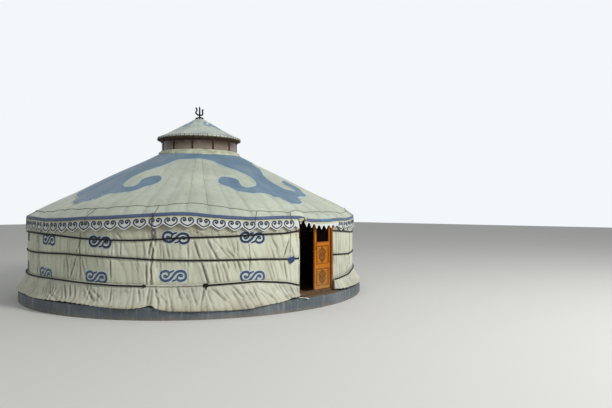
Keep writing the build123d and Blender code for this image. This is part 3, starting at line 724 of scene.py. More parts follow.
def make(name, points, faces, material, flat=None, hollow=None, slot=None, sharp=None):
    """A piece from points and faces."""
    mesh = bpy.data.meshes.new(name)
    mesh.from_pydata(np.asarray(points, float).reshape(-1, 3).tolist(), [], [list(f) for f in faces])
    mesh.materials.append(material)
    mesh.shade_smooth()
    if sharp is not None:
        mesh.set_sharp_from_angle(angle=math.radians(sharp))
    if flat is not None:
        corner = np.zeros(len(mesh.loops), np.int32)
        mesh.loops.foreach_get("vertex_index", corner)
        own = mesh.uv_layers.new(name="cloth")
        own.uv.foreach_set("vector", np.asarray(flat, np.float32).reshape(-1, 2)[corner].ravel())
    if hollow is not None:
        mesh.attributes.new("hollow", "FLOAT", "POINT").data.foreach_set(
            "value", np.asarray(hollow, np.float32).ravel())
    return set_up(name, mesh, "yurt", slot)


def cloth(name, outer, inner, material, flat, hollow=None, slot=None):
    """Cloth between two grids of points: rows go up, columns go round. flat is its map, across and up."""
    rows, columns = outer.shape[:2]
    top = np.arange(rows * columns).reshape(rows, columns)
    low = top + rows * columns
    sides = [(top[:-1, :-1], top[:-1, 1:], top[1:, 1:], top[1:, :-1]),
             (low[:-1, :-1], low[1:, :-1], low[1:, 1:], low[:-1, 1:]),
             (top[0, :-1], low[0, :-1], low[0, 1:], top[0, 1:]),
             (top[-1, 1:], low[-1, 1:], low[-1, :-1], top[-1, :-1]),
             (top[1:, 0], low[1:, 0], low[:-1, 0], top[:-1, 0]),
             (top[:-1, -1], low[:-1, -1], low[1:, -1], top[1:, -1])]
    faces = np.concatenate([np.stack([c.ravel() for c in side], 1) for side in sides]).tolist()
    flat = np.stack(np.broadcast_arrays(*flat), -1)
    twice = [None if x is None else np.concatenate([x, x]) for x in (flat, hollow)]
    return make(name, np.concatenate([outer, inner]), faces, material, twice[0], twice[1], slot)


def hollows(depth, step, reach=0.07):
    """How far each point lies behind the points beside it, from 0 to 1. step is the spacing in metres."""
    half = max(2, int(reach / step))
    padded = np.pad(depth, ((0, 0), (half, half)), mode="edge")
    total = np.cumsum(np.pad(padded, ((0, 0), (1, 0))), axis=1)
    beside = (total[:, 2 * half + 1 :] - total[:, : -2 * half - 1]) / (2 * half + 1)
    return np.clip((beside - depth) / 0.013, 0, 1)


def spans(low, high, step):
    """Evenly spaced values from low to high, no further apart than step."""
    return np.linspace(low, high, max(2, int(math.ceil((high - low) / step)) + 1))


# %% [markdown]
# ## Wall panels
#
# The wall is eight canvas panels laced end to end, as a real one is, since one cloth of 25 m
# could not be lifted. Each panel laps over the next by 60 mm. A panel could be a
# plane with a Wave modifier, but the fold's shape matters where the ropes and patches lie,
# so the panels sample the wall's function every 14 mm round and 28 mm up.

# %% Wall covers
WALL_CLOTH = 0.012
WALL_EDGES = [8.5, 51.4, 94.3, 137.1, 180, 222.9, 265.7, 308.6, 351.5]
# A panel's lap and the bend before it, as angles. An edge past LAST_EDGE, in degrees, has no lap.
LAP = 0.06 / WALL_RADIUS
LAP_BEND = 0.7 * LAP
LAST_EDGE = 351
WALL_STEP = 0.0145
UNDER_ROOF_FACE = 4.004


def panels(kind, edges):
    """The node that lies in each arc between edges in degrees, with the arc's start and end."""
    left = {}
    for node in ["%s_%d" % (kind, k) for k in range(1, len(edges))]:
        low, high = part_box(node)
        left[node] = math.atan2(low.x + high.x, -(low.y + high.y))
    found = []
    for start, end in zip(edges[:-1], edges[1:]):
        middle = math.radians((start + end) / 2)
        node = min(left, key=lambda n: abs(turn_between(left[n], middle)))
        left.pop(node)
        found.append((node, start, end))
    return found


def panel_angles(start, end, step):
    """Angles along a panel and its lap. The last panel ends at the doorway and has no lap."""
    return spans(math.radians(start), math.radians(end) + (LAP if end < LAST_EDGE else 0), step)[None]


def lap_out(angle, end, rise):
    """How far a panel's end stands out, where it lies on the next panel."""
    return rise * np.clip((angle - math.radians(end) + LAP_BEND) / LAP_BEND, 0, 1) * (end < LAST_EDGE)


for node, start, end in panels("wall_cover", WALL_EDGES):
    angle = panel_angles(start, end, WALL_STEP / WALL_RADIUS)
    top = level(EAVE_MARKS, angle) - 0.035
    height = 0.004 + np.linspace(0, 1, 62)[:, None] * (top - 0.004)
    under_roof = np.clip((height - top + 0.33) / 0.08, 0, 1)
    face = wall_face(angle, height)
    face = face - (face - UNDER_ROOF_FACE) * 0.65 * under_roof * (face > UNDER_ROOF_FACE)
    lap = lap_out(angle, end, 0.0135)
    cover = cloth("felt_" + node, place(angle, face + lap, height),
                  place(angle, face + lap - WALL_CLOTH, height), WALL_CANVAS, (angle * WALL_RADIUS, height),
                  hollows(face, WALL_STEP), "canvas_wall")
    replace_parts(cover, node)
    width = float(np.ptp(angle)) * WALL_RADIUS
print("wall panels:", len(WALL_EDGES) - 1, " corners of the last:", len(cover.data.vertices))

# %% [markdown]
# ## Skirt
#
# A strip of canvas runs round the foot, tied under the lowest rope. It flares out over the
# plinth and in places hangs over its edge, held down with sand. It is far longer than the
# wall is round, so it falls in deep folds that grow towards the hem. Its section is a
# profile from the rope to the hem. A point moves along the profile's own outward direction
# by the depth of the fold, so that folds stand up from the sloping part and out from the
# hanging part.

# %% Skirt
PROFILE = np.array([(4.018, 0.47), (4.022, 0.42), (4.030, 0.36), (4.045, 0.30), (4.066, 0.225), (4.096, 0.15),
                    (4.126, 0.10), (4.158, 0.060), (4.188, 0.034), (4.208, 0.020), (4.221, 0.004),
                    (4.227, -0.02), (4.229, -0.05), (4.229, -0.12)])
PROFILE_LENGTH = np.concatenate([[0], np.cumsum(np.linalg.norm(np.diff(PROFILE, axis=0), axis=1))])
SKIRT_WAVES = wave_set(51, 9, 12, 80, 3.0)
SKIRT_PLEATS = 176
SKIRT_CLOTH = 0.008
SKIRT_STEP, SKIRT_RADIUS = 0.017, 4.2
SKIRT_FOLDS = [(-86, 0.34, -84, 0.14, 12), (-84, 0.14, -80, 0.04, 12), (-79, 0.32, -77, 0.08, 14),
               (-75, 0.34, -73.7, 0.1, 9), (-70.7, 0.33, -67.3, 0.07, 14), (-69.6, 0.32, -64.4, 0.08, 10),
               (-62.9, 0.34, -62.3, 0.05, 11), (-55, 0.33, -54, 0.08, 10), (-52.1, 0.34, -52.1, 0.05, 17),
               (-50.4, 0.33, -49.1, 0.04, 13), (-47, 0.33, -46, 0.03, 11), (-41, 0.32, -39.4, 0.03, 12),
               (-35.5, 0.32, -31.3, 0.04, 14), (-30.2, 0.37, -27, 0.12, 14), (-25.4, 0.24, -24, 0.08, 10),
               (-22, 0.26, -18.4, 0.08, 12), (-18.4, 0.09, -13, 0.05, 11), (-12.2, 0.25, -11, 0.05, 13)]
SKIRT_CREASES = crease_lines(SKIRT_FOLDS)
for start in np.radians(draw.uniform(-180, 180, 120)):
    SKIRT_CREASES.append([start, draw.uniform(0.22, 0.38), start + draw.normal(0.015, 0.02),
                          draw.uniform(0.03, 0.14), draw.uniform(0.004, 0.011)])


def skirt_point(angle, part):
    """Distance and height of the skirt's outer face, from 0 at the hem to 1 under the rope."""
    head = level(BOTTOM_ROPE, angle) + 0.028
    hem = level(HEM_MARKS, angle, 0.6) + 0.006 * waves(angle, 0, RIPPLES)
    falling = -PROFILE[:, 1]
    start = np.interp(-head, falling, PROFILE_LENGTH)
    stop = np.interp(-hem, falling, PROFILE_LENGTH)
    along = stop + (start - stop) * part
    flare = np.interp(np.degrees(turn_between(angle, 0)), [-14, -8.6, 8.4, 11], [1, 0, 0.5, 1])
    radius = 4.02 + (np.interp(along, PROFILE_LENGTH, PROFILE[:, 0]) - 4.02) * (0.35 + 0.65 * flare)
    height = np.interp(along, PROFILE_LENGTH, PROFILE[:, 1])
    ahead = np.clip(along + 0.03, 0, PROFILE_LENGTH[-1])
    behind = np.clip(along - 0.03, 0, PROFILE_LENGTH[-1])
    run = np.interp(ahead, PROFILE_LENGTH, PROFILE[:, 0]) - np.interp(behind, PROFILE_LENGTH, PROFILE[:, 0])
    fall = np.interp(behind, PROFILE_LENGTH, PROFILE[:, 1]) - np.interp(ahead, PROFILE_LENGTH, PROFILE[:, 1])
    size = np.hypot(run, fall)
    strength = np.clip(0.6 + 0.55 * waves(angle, height, SKIRT_WAVES), 0.12, 1.25)
    lean = -0.35 + 0.2 * np.sin(5 * angle)
    folds = pleats(angle, height, SKIRT_PLEATS, lean, SKIRT_WAVES, 0.75)
    small = pleats(angle, height, FINE_PLEATS, lean, WANDER_FINE, 0.8)
    open_out = np.clip(1.15 - part, 0, 1)
    smoother_side = np.interp(np.degrees(turn_between(angle, 0)), [-112, -98, -58, -50], [1, 0.6, 0.6, 1])
    depth = smoother_side * strength * (0.024 * folds * (0.22 + 0.78 * open_out) + 0.007 * small)
    sharp = CREASE_GAIN * creases(angle, height, SKIRT_CREASES)
    depth = depth + 0.010 + sharp * np.clip(height / 0.1 + 0.8, 0.3, 1)
    depth = depth * (1 - 0.85 * np.exp(-(((height - head + 0.028) / 0.035) ** 2)))
    for seam, pinch in zip(SEAMS, SEAM_DEPTH):
        away = turn_between(angle, seam) * WALL_RADIUS
        depth = depth * (1 - 0.8 * np.exp(-((away / 0.03) ** 2)) * (pinch > 0.005))
    radius = np.maximum(radius + depth * fall / size, wall_face(angle, height) + 0.012)
    return radius, height + depth * run / size * np.clip(height / 0.05 + 1, 0, 1)


SKIRT_EDGES = [8.45, 94.3, 180, 265.7, 351.2]
for node, start, end in panels("skirt", SKIRT_EDGES):
    angle = panel_angles(start, end, SKIRT_STEP / SKIRT_RADIUS)
    part = (np.linspace(0, 1, 22) ** 1.1)[:, None]
    radius, height = skirt_point(angle, part)
    lap = lap_out(angle, end, 0.010)
    # Right of the doorway the hem is drawn a little towards it.
    angles = angle - math.radians(1.7) * (1 - part) * np.clip((14.5 - np.degrees(angle)) / 6, 0, 1)
    inner_radius = radius - SKIRT_CLOTH * 0.8
    inner_height = np.where(radius < 4.216, np.maximum(height - SKIRT_CLOTH * 0.6, 0.002), height - 0.002)
    skirt = cloth("canvas_" + node, place(angles, radius + lap, height),
                  place(angles, inner_radius + lap, inner_height), SKIRT_CANVAS, (angles * 4.1, height),
                  hollows(radius, SKIRT_STEP, 0.06), "canvas_wall")
    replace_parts(skirt, node)
print("skirts:", len(SKIRT_EDGES) - 1,
      " folds about", round(TURN * SKIRT_RADIUS / SKIRT_PLEATS * 1000), "mm apart")

# %% [markdown]
# ## Roof covers
#
# Four canvas quarters lie over the poles and lap by 0.4 m at the eave. The lap shows as two pale
# lines that run up the roof. The edge turns down over the pole ends and is hidden by the
# blue band. Rows are closer together near the eave, where the cloth bends most.

# %% Roof
ROOF_CLOTH = 0.008
EAVE_TURN = [(4.026, -0.062), (4.034, -0.030), (4.034, -0.010), (4.028, 0.001)]
ROOF_STEP = 0.028
for node, start, end in panels("roof_cover", ROOF_EDGES):
    angle = spans(math.radians(start), math.radians(end) + ROOF_LAP, ROOF_STEP / WALL_RADIUS)[None]
    slope = 4.018 - (4.018 - CROWN_EDGE) * np.linspace(0, 1, 74)[:, None] ** 1.08
    radius = np.concatenate([[[r] for r, _ in EAVE_TURN], slope])
    turned = np.concatenate([level(EAVE_MARKS, angle) + drop for _, drop in EAVE_TURN])
    height = np.concatenate([turned, roof_face(angle, slope)])
    lap = np.clip((angle - math.radians(end)) / 0.02 + 1, 0, 1) * LAP_RISE
    radius, height, angles = np.broadcast_arrays(radius, height, angle)
    below = ROOF_CLOTH * np.clip((EAVE_RADIUS - radius) / 0.02, 0, 1)
    inner = place(angles, radius - np.where(radius > 4.0, 0.010, 0.003), height - below + lap)
    roof = cloth("canvas_" + node, place(angles, radius, height + lap), inner, ROOF_CANVAS,
                 (angles * radius, radius), hollows(height, ROOF_STEP, 0.16), "canvas_roof")
    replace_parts(roof, node)
print("roof quarters:", len(ROOF_EDGES) - 1)

# %% [markdown]
# ## Frame of slats and poles
#
# Inside the cloth stands the frame: two layers of willow slats crossed and riveted into a
# hoop, and sixty poles from its top to the crown. They repeat along lines, so one Geometry
# Nodes tree sweeps a small section along any set of lines, and only the lines are worked
# out here. The same tree later makes the door's mouldings. The poles follow the uneven eave,
# just under the cloth.

# %% Trees that sweep a section along lines


def tree_with(name, sizes):
    """A Geometry Nodes tree with a geometry input, named sizes and one output."""
    tree = bpy.data.node_groups.new(name, "GeometryNodeTree")
    tree.interface.new_socket("Lines", in_out="INPUT", socket_type="NodeSocketGeometry")
    for size, value in sizes.items():
        kind = "NodeSocketInt" if isinstance(value, int) else "NodeSocketFloat"
        tree.interface.new_socket(size, in_out="INPUT", socket_type=kind).default_value = value
    tree.interface.new_socket("Material", in_out="INPUT", socket_type="NodeSocketMaterial")
    tree.interface.new_socket("Pieces", in_out="OUTPUT", socket_type="NodeSocketGeometry")
    return tree, add(tree, "NodeGroupInput")


def end_tree(tree, given, geometry):
    """Every tree ends with real geometry and a material."""
    real = add(tree, "GeometryNodeRealizeInstances", {0: geometry})
    painted = add(tree, "GeometryNodeSetMaterial",
                  {"Geometry": real.outputs[0], "Material": given.outputs["Material"]})
    add(tree, "NodeGroupOutput", {0: painted.outputs[0]})
    return tree


def batten_tree():
    """A rectangular bar along each line, upright on it."""
    tree, given = tree_with("bar_along_lines", {"Thickness": 0.01, "Width": 0.03})
    line = add(tree, "GeometryNodeMeshToCurve", {0: given.outputs["Lines"]})
    upright = add(tree, "GeometryNodeSetCurveNormal", {"Curve": line.outputs[0]}, mode="Z_UP")
    section = add(tree, "GeometryNodeCurvePrimitiveQuadrilateral",
                  {"Width": given.outputs["Width"], "Height": given.outputs["Thickness"]})
    bar = add(tree, "GeometryNodeCurveToMesh",
              {"Curve": upright.outputs[0], "Profile Curve": section.outputs[0], "Fill Caps": True})
    flat = add(tree, "GeometryNodeSetShadeSmooth", {"Geometry": bar.outputs[0], "Shade Smooth": False})
    return end_tree(tree, given, flat.outputs[0])


def grow(name, lines, tree, sizes, material, slot=None, body="yurt"):
    """Run a tree on lines of points (or single points) and keep the result as a plain mesh."""
    points = np.concatenate([np.asarray(line, float).reshape(-1, 3) for line in lines])
    edges, start = [], 0
    for line in lines:
        edges += [(start + i, start + i + 1) for i in range(len(line) - 1)]
        start += len(line)
    mesh = bpy.data.meshes.new(name + "_lines")
    mesh.from_pydata(points.tolist(), edges, [])
    seed = bpy.data.objects.new(name + "_lines", mesh)
    scene.collection.objects.link(seed)
    modifier = seed.modifiers.new("grow", "NODES")
    modifier.node_group = tree
    for socket in tree.interface.items_tree:
        if socket.in_out == "INPUT" and socket.name in sizes:
            modifier[socket.identifier] = sizes[socket.name]
        if socket.in_out == "INPUT" and socket.name == "Material":
            modifier[socket.identifier] = material
    seen_by = bpy.context.evaluated_depsgraph_get()
    grown = bpy.data.meshes.new_from_object(seed.evaluated_get(seen_by))
    grown.name = name
    seed.modifiers.remove(modifier)
    bpy.data.objects.remove(seed)
    print(name, "has", len(grown.polygons), "faces")
    return set_up(name, grown, body, slot)


BATTEN = batten_tree()

# %% Crossed slats
SLAT_SPACING = 0.19
SLAT_TOP = 1.585
SLAT_LEAN = 1.05
hoop_start, hoop_end = math.radians(8.7), math.radians(351.3)
slat_lines = []
for side, radius in ((1, 3.960), (-1, 3.972)):
    reach = SLAT_TOP * SLAT_LEAN / radius
    for foot in np.arange(hoop_start - reach, hoop_end + reach, SLAT_SPACING / radius):
        height = np.linspace(0.045, SLAT_TOP, 15)
        angle = foot + side * (height / SLAT_TOP - 0.5) * reach
        keep = (angle > hoop_start) & (angle < hoop_end)
        if keep.sum() >= 3:
            slat_lines.append(place(angle[keep], radius, height[keep]))
slats = grow("crossed_slats", slat_lines, BATTEN, {"Thickness": 0.010, "Width": 0.032}, SLAT_WOOD,
             "lattice_wood")
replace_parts(slats, "lattice_1", "lattice_2", "lattice_3", "lattice_4")
print("slats:", len(slat_lines))

# %% Roof poles
pole_lines = []
for k in range(POLES):
    angle = math.radians((k + 0.5) * 360 / POLES)
    radius = np.array([0.962, 1.6, 2.2, 3.0, 3.955])
    out = np.clip((radius - CROWN_EDGE) / (EAVE_RADIUS - CROWN_EDGE), 0, 1)
    height = EAVE_HEIGHT + (EAVE_RADIUS - radius) * ROOF_SLOPE + eave_lift(np.full(5, angle)) * out - 0.052
    height -= [0.045, 0.027, 0.010, 0, 0]
    pole_lines.append(place(angle, radius, height))
poles = grow("roof_poles_wood", pole_lines, BATTEN, {"Thickness": 0.040, "Width": 0.034}, POLE_WOOD,
             "pole_wood")
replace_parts(poles, "roof_poles")

# %% [markdown]
# ## Ropes and cords
#
# Three black ropes hold the felt against the frame. Each is three strands laid together,
# drawn here by a Geometry Nodes tree: it copies the line once for each strand and moves the
# copies off the line by a turning offset. A rope under tension lies on the ridges and
# bridges the valleys, so its line takes the highest cloth within a hand's width.

# %% Rope tree


def rope_tree():
    """Strands that turn round each line."""
    tree, given = tree_with("strands_along_lines", {"Strands": 3, "Rope radius": 0.013, "Spread": 0.48,
                                                    "Lay": 0.09, "Sides": 6})
    line = add(tree, "GeometryNodeMeshToCurve", {0: given.outputs["Lines"]})
    copies = add(tree, "GeometryNodeDuplicateElements",
                 {"Geometry": line.outputs[0], "Amount": given.outputs["Strands"]}, domain="SPLINE")
    along = add(tree, "GeometryNodeSplineParameter")
    turns = add(tree, "ShaderNodeMath", {0: along.outputs["Length"], 1: given.outputs["Lay"]},
                operation="DIVIDE")
    share = add(tree, "ShaderNodeMath", {0: copies.outputs["Duplicate Index"], 1: given.outputs["Strands"]},
                operation="DIVIDE")
    whole = add(tree, "ShaderNodeMath", {0: turns.outputs[0], 1: share.outputs[0]}, operation="ADD")
    turned = add(tree, "ShaderNodeMath", {0: whole.outputs[0], 1: TURN}, operation="MULTIPLY")
    normal, tangent = add(tree, "GeometryNodeInputNormal"), add(tree, "GeometryNodeInputTangent")
    offset = add(tree, "ShaderNodeVectorRotate", {"Vector": normal.outputs[0], "Axis": tangent.outputs[0],
                                                  "Angle": turned.outputs[0]})
    out = add(tree, "ShaderNodeMath", {0: given.outputs["Rope radius"], 1: given.outputs["Spread"]},
              operation="MULTIPLY")
    moved = add(tree, "ShaderNodeVectorMath", {0: offset.outputs[0], "Scale": out.outputs[0]},
                operation="SCALE")
    strand = add(tree, "GeometryNodeSetPosition", {"Geometry": copies.outputs[0], "Offset": moved.outputs[0]})
    thick = add(tree, "ShaderNodeMath", {0: given.outputs["Rope radius"], 1: 0.60}, operation="MULTIPLY")
    section = add(tree, "GeometryNodeCurvePrimitiveCircle",
                  {"Resolution": given.outputs["Sides"], "Radius": thick.outputs[0]})
    tube = add(tree, "GeometryNodeCurveToMesh",
               {"Curve": strand.outputs[0], "Profile Curve": section.outputs[0], "Fill Caps": True})
    soft = add(tree, "GeometryNodeSetShadeSmooth", {"Geometry": tube.outputs[0], "Shade Smooth": True})
    return end_tree(tree, given, soft.outputs[0])


ROPE = rope_tree()
ROPE_RADIUS = 0.018


def lay_rope(name, lines, radius, material, slot=None, strands=2, lay=0.03, sides=5):
    """Ropes, or round bars if they have one strand, along lines."""
    sizes = {"Strands": strands, "Rope radius": radius, "Spread": 0.48 if strands > 1 else 0.0, "Lay": lay,
             "Sides": sides}
    return grow(name, lines, ROPE, sizes, material, slot)


def over_ridges(face, reach):
    """The highest of each row of values within reach columns, softened."""
    wide = np.max([np.roll(face, s) for s in range(-reach, reach + 1)], axis=0)
    return np.mean([np.roll(wide, s) for s in range(-reach, reach + 1)], axis=0)


def girth(start, end, marks, on_skirt=False):
    """A line round the wall on top of the cloth, from one angle to another in degrees."""
    step, reach = 0.25, 4
    angle = np.radians(np.arange(start, end + step / 2, step))
    height = level(marks, angle)
    face = skirt_point(angle, 0.935)[0] if on_skirt else wall_face(angle, height)
    radius = np.maximum(over_ridges(face, reach), face)
    radius[:reach], radius[-reach:] = face[:reach], face[-reach:]
    return place(angle, radius + ROPE_RADIUS * 0.8, height)


# %% The three ropes
# In degrees: where the ropes end at the doorway, and the gap in the bottom rope that a thin cord closes.
DOOR_RIGHT, DOOR_LEFT = 8.45, 351.5
LASHED_FROM, LASHED_TO = -53.5, -37.1
BLACK_THREE = {"radius": ROPE_RADIUS, "material": BLACK_ROPE, "slot": "black_rope", "strands": 3, "lay": 0.085,
               "sides": 6}
top_rope = lay_rope("rope_top", [girth(DOOR_RIGHT, DOOR_LEFT, TOP_ROPE)], **BLACK_THREE)
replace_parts(top_rope, "girth_rope_top")
middle_rope = lay_rope("rope_middle", [girth(DOOR_RIGHT, DOOR_LEFT, MIDDLE_ROPE)], **BLACK_THREE)
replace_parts(middle_rope, "girth_rope_middle")


def on_bottom_rope(degrees):
    """Angle, height and distance of the wall behind a place on the bottom rope."""
    angle = math.radians(degrees)
    height = float(level(BOTTOM_ROPE, np.array(angle)))
    return angle, height, float(wall_face(angle, height))


def knot(degrees, away, around, out, up, phase):
    """Rope wound up in front of the bottom rope: how far off the wall, then how wide its turns are."""
    angle, height, face = on_bottom_rope(degrees)
    turn = np.linspace(0, 2.2 * TURN, 34)
    return place(angle + around * np.sin(turn) / WALL_RADIUS, face + away + out * np.cos(turn),
                 height + up * np.sin(1.5 * turn + phase))


angle, height, face = on_bottom_rope(LASHED_TO)
part = np.linspace(0, 1, 12)
tail = place(angle + 0.0015 * np.sin(4 * part), face + 0.042 + 0.03 * part, height - 0.20 * part)
bottom_lines = [girth(DOOR_RIGHT, LASHED_FROM + 360, BOTTOM_ROPE, True),
                girth(LASHED_TO, -8.5, BOTTOM_ROPE, True), tail,
                knot(LASHED_TO, 0.042, 0.034, 0.014, 0.022, 0),
                knot(LASHED_FROM, 0.034, 0.020, 0.015, 0.012, math.pi / 2)]
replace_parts(lay_rope("rope_bottom", bottom_lines, **BLACK_THREE), "girth_rope_bottom")
thin = girth(LASHED_FROM, LASHED_TO, BOTTOM_ROPE, True)
thin[:, 2] -= 0.012 * np.sin(np.linspace(0, math.pi, len(thin)))
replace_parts(lay_rope("cord_lashing", [thin], 0.006, BROWN_CORD, "brown_cord"), "lashing_cord")

# %% Cord over the roof's edge, and its ties
ROOF_CORD = [(-180, .962), (-150, .945), (-125, .965), (-108, .96), (-97, .966), (-89, .955), (-80, .948),
             (-69, .958), (-61, .955), (-57, .948), (-51, .964), (-45, .955), (-40, .943), (-35.5, .943),
             (-30, .955), (-25, .97), (-17, .979), (-11.5, .985), (-4, .975), (1, .957), (9, .959),
             (15.5, .969), (21, .978), (40, .955), (55, .965), (80, .945), (110, .965), (140, .94),
             (165, .965)]
CORD_RADIUS = 0.0055


def roof_cord_radius(angle):
    """Distance of the cord from the centre. ROOF_CORD gives it as a share of the wall's radius."""
    return level([(a, r * WALL_RADIUS * 1000) for a, r in ROOF_CORD], angle, 1.5)


angle = np.radians(np.arange(-180, 180.01, 0.4))
radius = roof_cord_radius(angle)
cord_lines = [place(angle, radius, on_the_roof(angle, radius) + CORD_RADIUS + 0.002)]
TIES = [(-70, -72), (-50.1, -51.2), (-22, -24), (-11, -12.2), (32, 30), (75, 76.5), (120, 119), (165, 166),
        (-145, -144), (-108, -109)]
for from_angle, to_angle in TIES:
    part = np.linspace(0, 1, 14)
    angle = np.radians(from_angle + (to_angle - from_angle) * part)
    inner = float(roof_cord_radius(angle[:1])[0])
    radius = np.concatenate([np.linspace(inner, 4.030, 8), np.full(6, 4.058)])
    drop = np.concatenate([np.zeros(8), [0.015, 0.07, 0.14, 0.21, 0.29, 0.36]])
    height = np.where(drop > 0, level(EAVE_MARKS, angle) - drop, on_the_roof(angle, np.minimum(radius, 4.03))
                      + CORD_RADIUS + 0.003)
    radius = np.where(drop > 0.28, np.linspace(4.058, 4.050, 14), radius)
    cord_lines.append(place(angle, radius, height))
lay_rope("cord_roof_edge", cord_lines, CORD_RADIUS, GREY_CORD, "brown_cord", lay=0.04)
seam_lines = []
for end in ROOF_EDGES[1:]:
    for edge in (math.radians(end), math.radians(end) + ROOF_LAP):
        radius = np.linspace(1.10, 3.98, 60)
        seam = np.full(60, edge) + 0.004 * np.sin(3 * radius + end)
        seam_lines.append(place(seam, radius, on_the_roof(seam, radius) + 0.001))
lay_rope("seams_roof", seam_lines, 0.010, COLLAR_CANVAS, "canvas_roof", strands=1, sides=6)
print("ties over the eave:", len(TIES), " roof seams:", len(seam_lines))

# %% [markdown]
# ## Valance
#
# A scalloped strip of cotton hangs from the eave, with a blue band sewn along its top edge
# and a scroll in each scallop. Each scallop could be a separate flag, but on the tent it is
# one long strip with a shaped lower edge, so its mesh rows run from the band to that edge,
# whatever its depth is. Over the doorway the strip hangs lower and ends in narrow tongues
# that the wind has frayed. Eighty scallops fill the rest.

# %% Face and lower edge of the valance
TILE = 4.235
FIRST_TILE = -12.4
TILES = 80
VALANCE_WAVES = wave_set(61, 9, 10, 70, 5.0)
VALANCE_RIPPLES = wave_set(67, 9, 90, 260, 9.0)
BAND_DEPTH = 0.066
TONGUES = [(-8.2, .160), (-5.8, .185), (-3.65, .190), (-1.4, .200), (1.0, .218), (3.5, .214), (6.2, .205),
           (8.6, .200), (11.2, .200)]
SLOTS = [.085, .075, .090, .120, .128, .128, .132, .165]


def valance_face(angle, below):
    """Distance of the valance's face from the centre, at a depth below the eave."""
    hang = np.clip(below / 0.26, 0, 1.1)
    swing = 0.5 + 0.5 * waves(angle, below, VALANCE_WAVES)
    small = 0.5 + 0.5 * waves(angle, below, VALANCE_RIPPLES)
    return 4.042 + hang * (0.004 + 0.016 * swing + 0.006 * small)


def scallop_depth(angle):
    """Depth of the scalloped edge below the eave."""
    aside = np.abs((np.degrees(angle) - FIRST_TILE + TILE / 2) / TILE % 1 - 0.5) * 2
    return 0.196 + 0.086 * (1 - aside**1.15)


def tongue_depth(angle):
    """Depth of the edge over the doorway, with round-topped slots between the tongues."""
    degrees = np.degrees(angle)
    depth = np.interp(degrees, [t for t, _ in TONGUES], [d for _, d in TONGUES])
    for (left, _), (right, _), slot in zip(TONGUES[:-1], TONGUES[1:], SLOTS):
        aside = np.abs((degrees - (left + right) / 2) / (0.5 * (right - left)))
        depth = np.where(aside < 1, slot + (depth - slot) * aside**1.9, depth)
    return depth


def hung(name, angle, below, face, material, slot):
    """A strip of cloth under the eave, with its outer face at a distance from the centre."""
    height = level(EAVE_MARKS, angle) - below
    return cloth(name, place(angle, face, height), place(angle, face - 0.004, height), material,
                 (angle * EAVE_RADIUS, below), slot=slot)


def hanging_strip(name, low, high, edge, step):
    """The part of the valance between two angles, which are in degrees like the step."""
    angle = spans(math.radians(low), math.radians(high), math.radians(step))[None]
    below = np.linspace(1, 0, 9)[:, None] * edge(angle)
    strip = hung(name, angle, below, valance_face(angle, below), VALANCE_CLOTH, "valance_cloth")
    float(edge(angle).max())
    math.radians(high - low) * EAVE_RADIUS * float(edge(angle).mean())
    return strip


def striped_cotton():
    """Cotton with a straw-coloured strip under the band, paler below it. Its own map gives the depth."""
    material, tree, shader = finish("cotton_valance", 0.85, Sheen_Weight=0.2, Specular_IOR_Level=0.25)
    own = add(tree, "ShaderNodeUVMap", uv_map="cloth")
    apart = add(tree, "ShaderNodeSeparateXYZ", {0: own.outputs[0]})
    strip = add(tree, "ShaderNodeMapRange", {"Value": apart.outputs["Y"], "From Min": 0.098,
                                             "From Max": 0.110})
    colour = stained(tree, over(tree, "C0C3A4", "D3D5D2", strip.outputs[0]), ("ABAC9E", 0.25, 0.45, 0.7, 0.5),
                     ("8F8A72", 0.05, 0.56, 0.76, 0.5))
    dress(tree, shader, colour, (SLUB, 0.0006), (0.05, 0.004, (1, 1, 0.6)))
    return material


VALANCE_CLOTH = striped_cotton()
main_strip = hanging_strip("valance_scalloped", 12.0, 351.2, scallop_depth, TILE / 16)
hanging_strip("valance_tongues", -8.4, 12.2, tongue_depth, 0.09)
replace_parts(main_strip, "valance")
print("valance depth:", round(float(scallop_depth(np.array([0.0])).min()), 3), "to 0.282 m")

# %% Blue band and piping
band_low = np.linspace(1, 0, 4)[:, None]
for name, low, high, dye in (("eave_band_round", 8.4, 360.8, BAND_BLUE),
                             ("eave_band_door", 0.6, 8.6, BAND_TEAL)):
    angle = spans(math.radians(low), math.radians(high), 0.02 / 4)[None]
    below = -0.004 + (BAND_DEPTH + 0.003 * waves(angle, 0, VALANCE_WAVES)) * band_low
    face = valance_face(angle, below) + 0.0055 + 0.002 * waves(angle, below, VALANCE_RIPPLES)
    band = hung(name, angle, below, face, dye, "blue_band")
    if name == "eave_band_round":
        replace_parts(band, "eave_band")
piping_lines = []
for low, high, edge, step in ((12.0, 351.2, scallop_depth, 0.15), (-8.2, 12.0, tongue_depth, 0.11)):
    angle = np.radians(np.arange(low, high, step))
    below = edge(angle)
    piping_lines.append(place(angle, valance_face(angle, below) - 0.001, level(EAVE_MARKS, angle) - below))
lay_rope("valance_piping", piping_lines, 0.015, WHITE_PIPING, "valance_cloth", strands=1)

# %% [markdown]
# ## Sewn-on ornaments
#
# The scrolls are cut from cloth and sewn flat on the folds. Each is drawn as the path of its
# stroke and a width. A triangulation fills the outlines, merges strokes where they cross and
# adds points inside, so that the patch can bend. Then each copy asks the cloth where it lies
# and takes its place a few millimetres above it. A boolean or a shrinkwrap would give ragged
# edges on folded cloth.

# %% Strokes, cutting and sewing


def smooth_path(points, per=5):
    """A Catmull-Rom curve through a few points."""
    knots = np.array([points[0], *points, points[-1]], float)
    steps = np.linspace(0, 1, per, endpoint=False)[:, None]
    runs = []
    for a, b, c, d in zip(knots[:-3], knots[1:-2], knots[2:-1], knots[3:]):
        runs.append(0.5 * (2 * b + (c - a) * steps + (2 * a - 5 * b + 4 * c - d) * steps**2
                           + (3 * b - a - 3 * c + d) * steps**3))
    return np.concatenate(runs + [knots[-1:]])


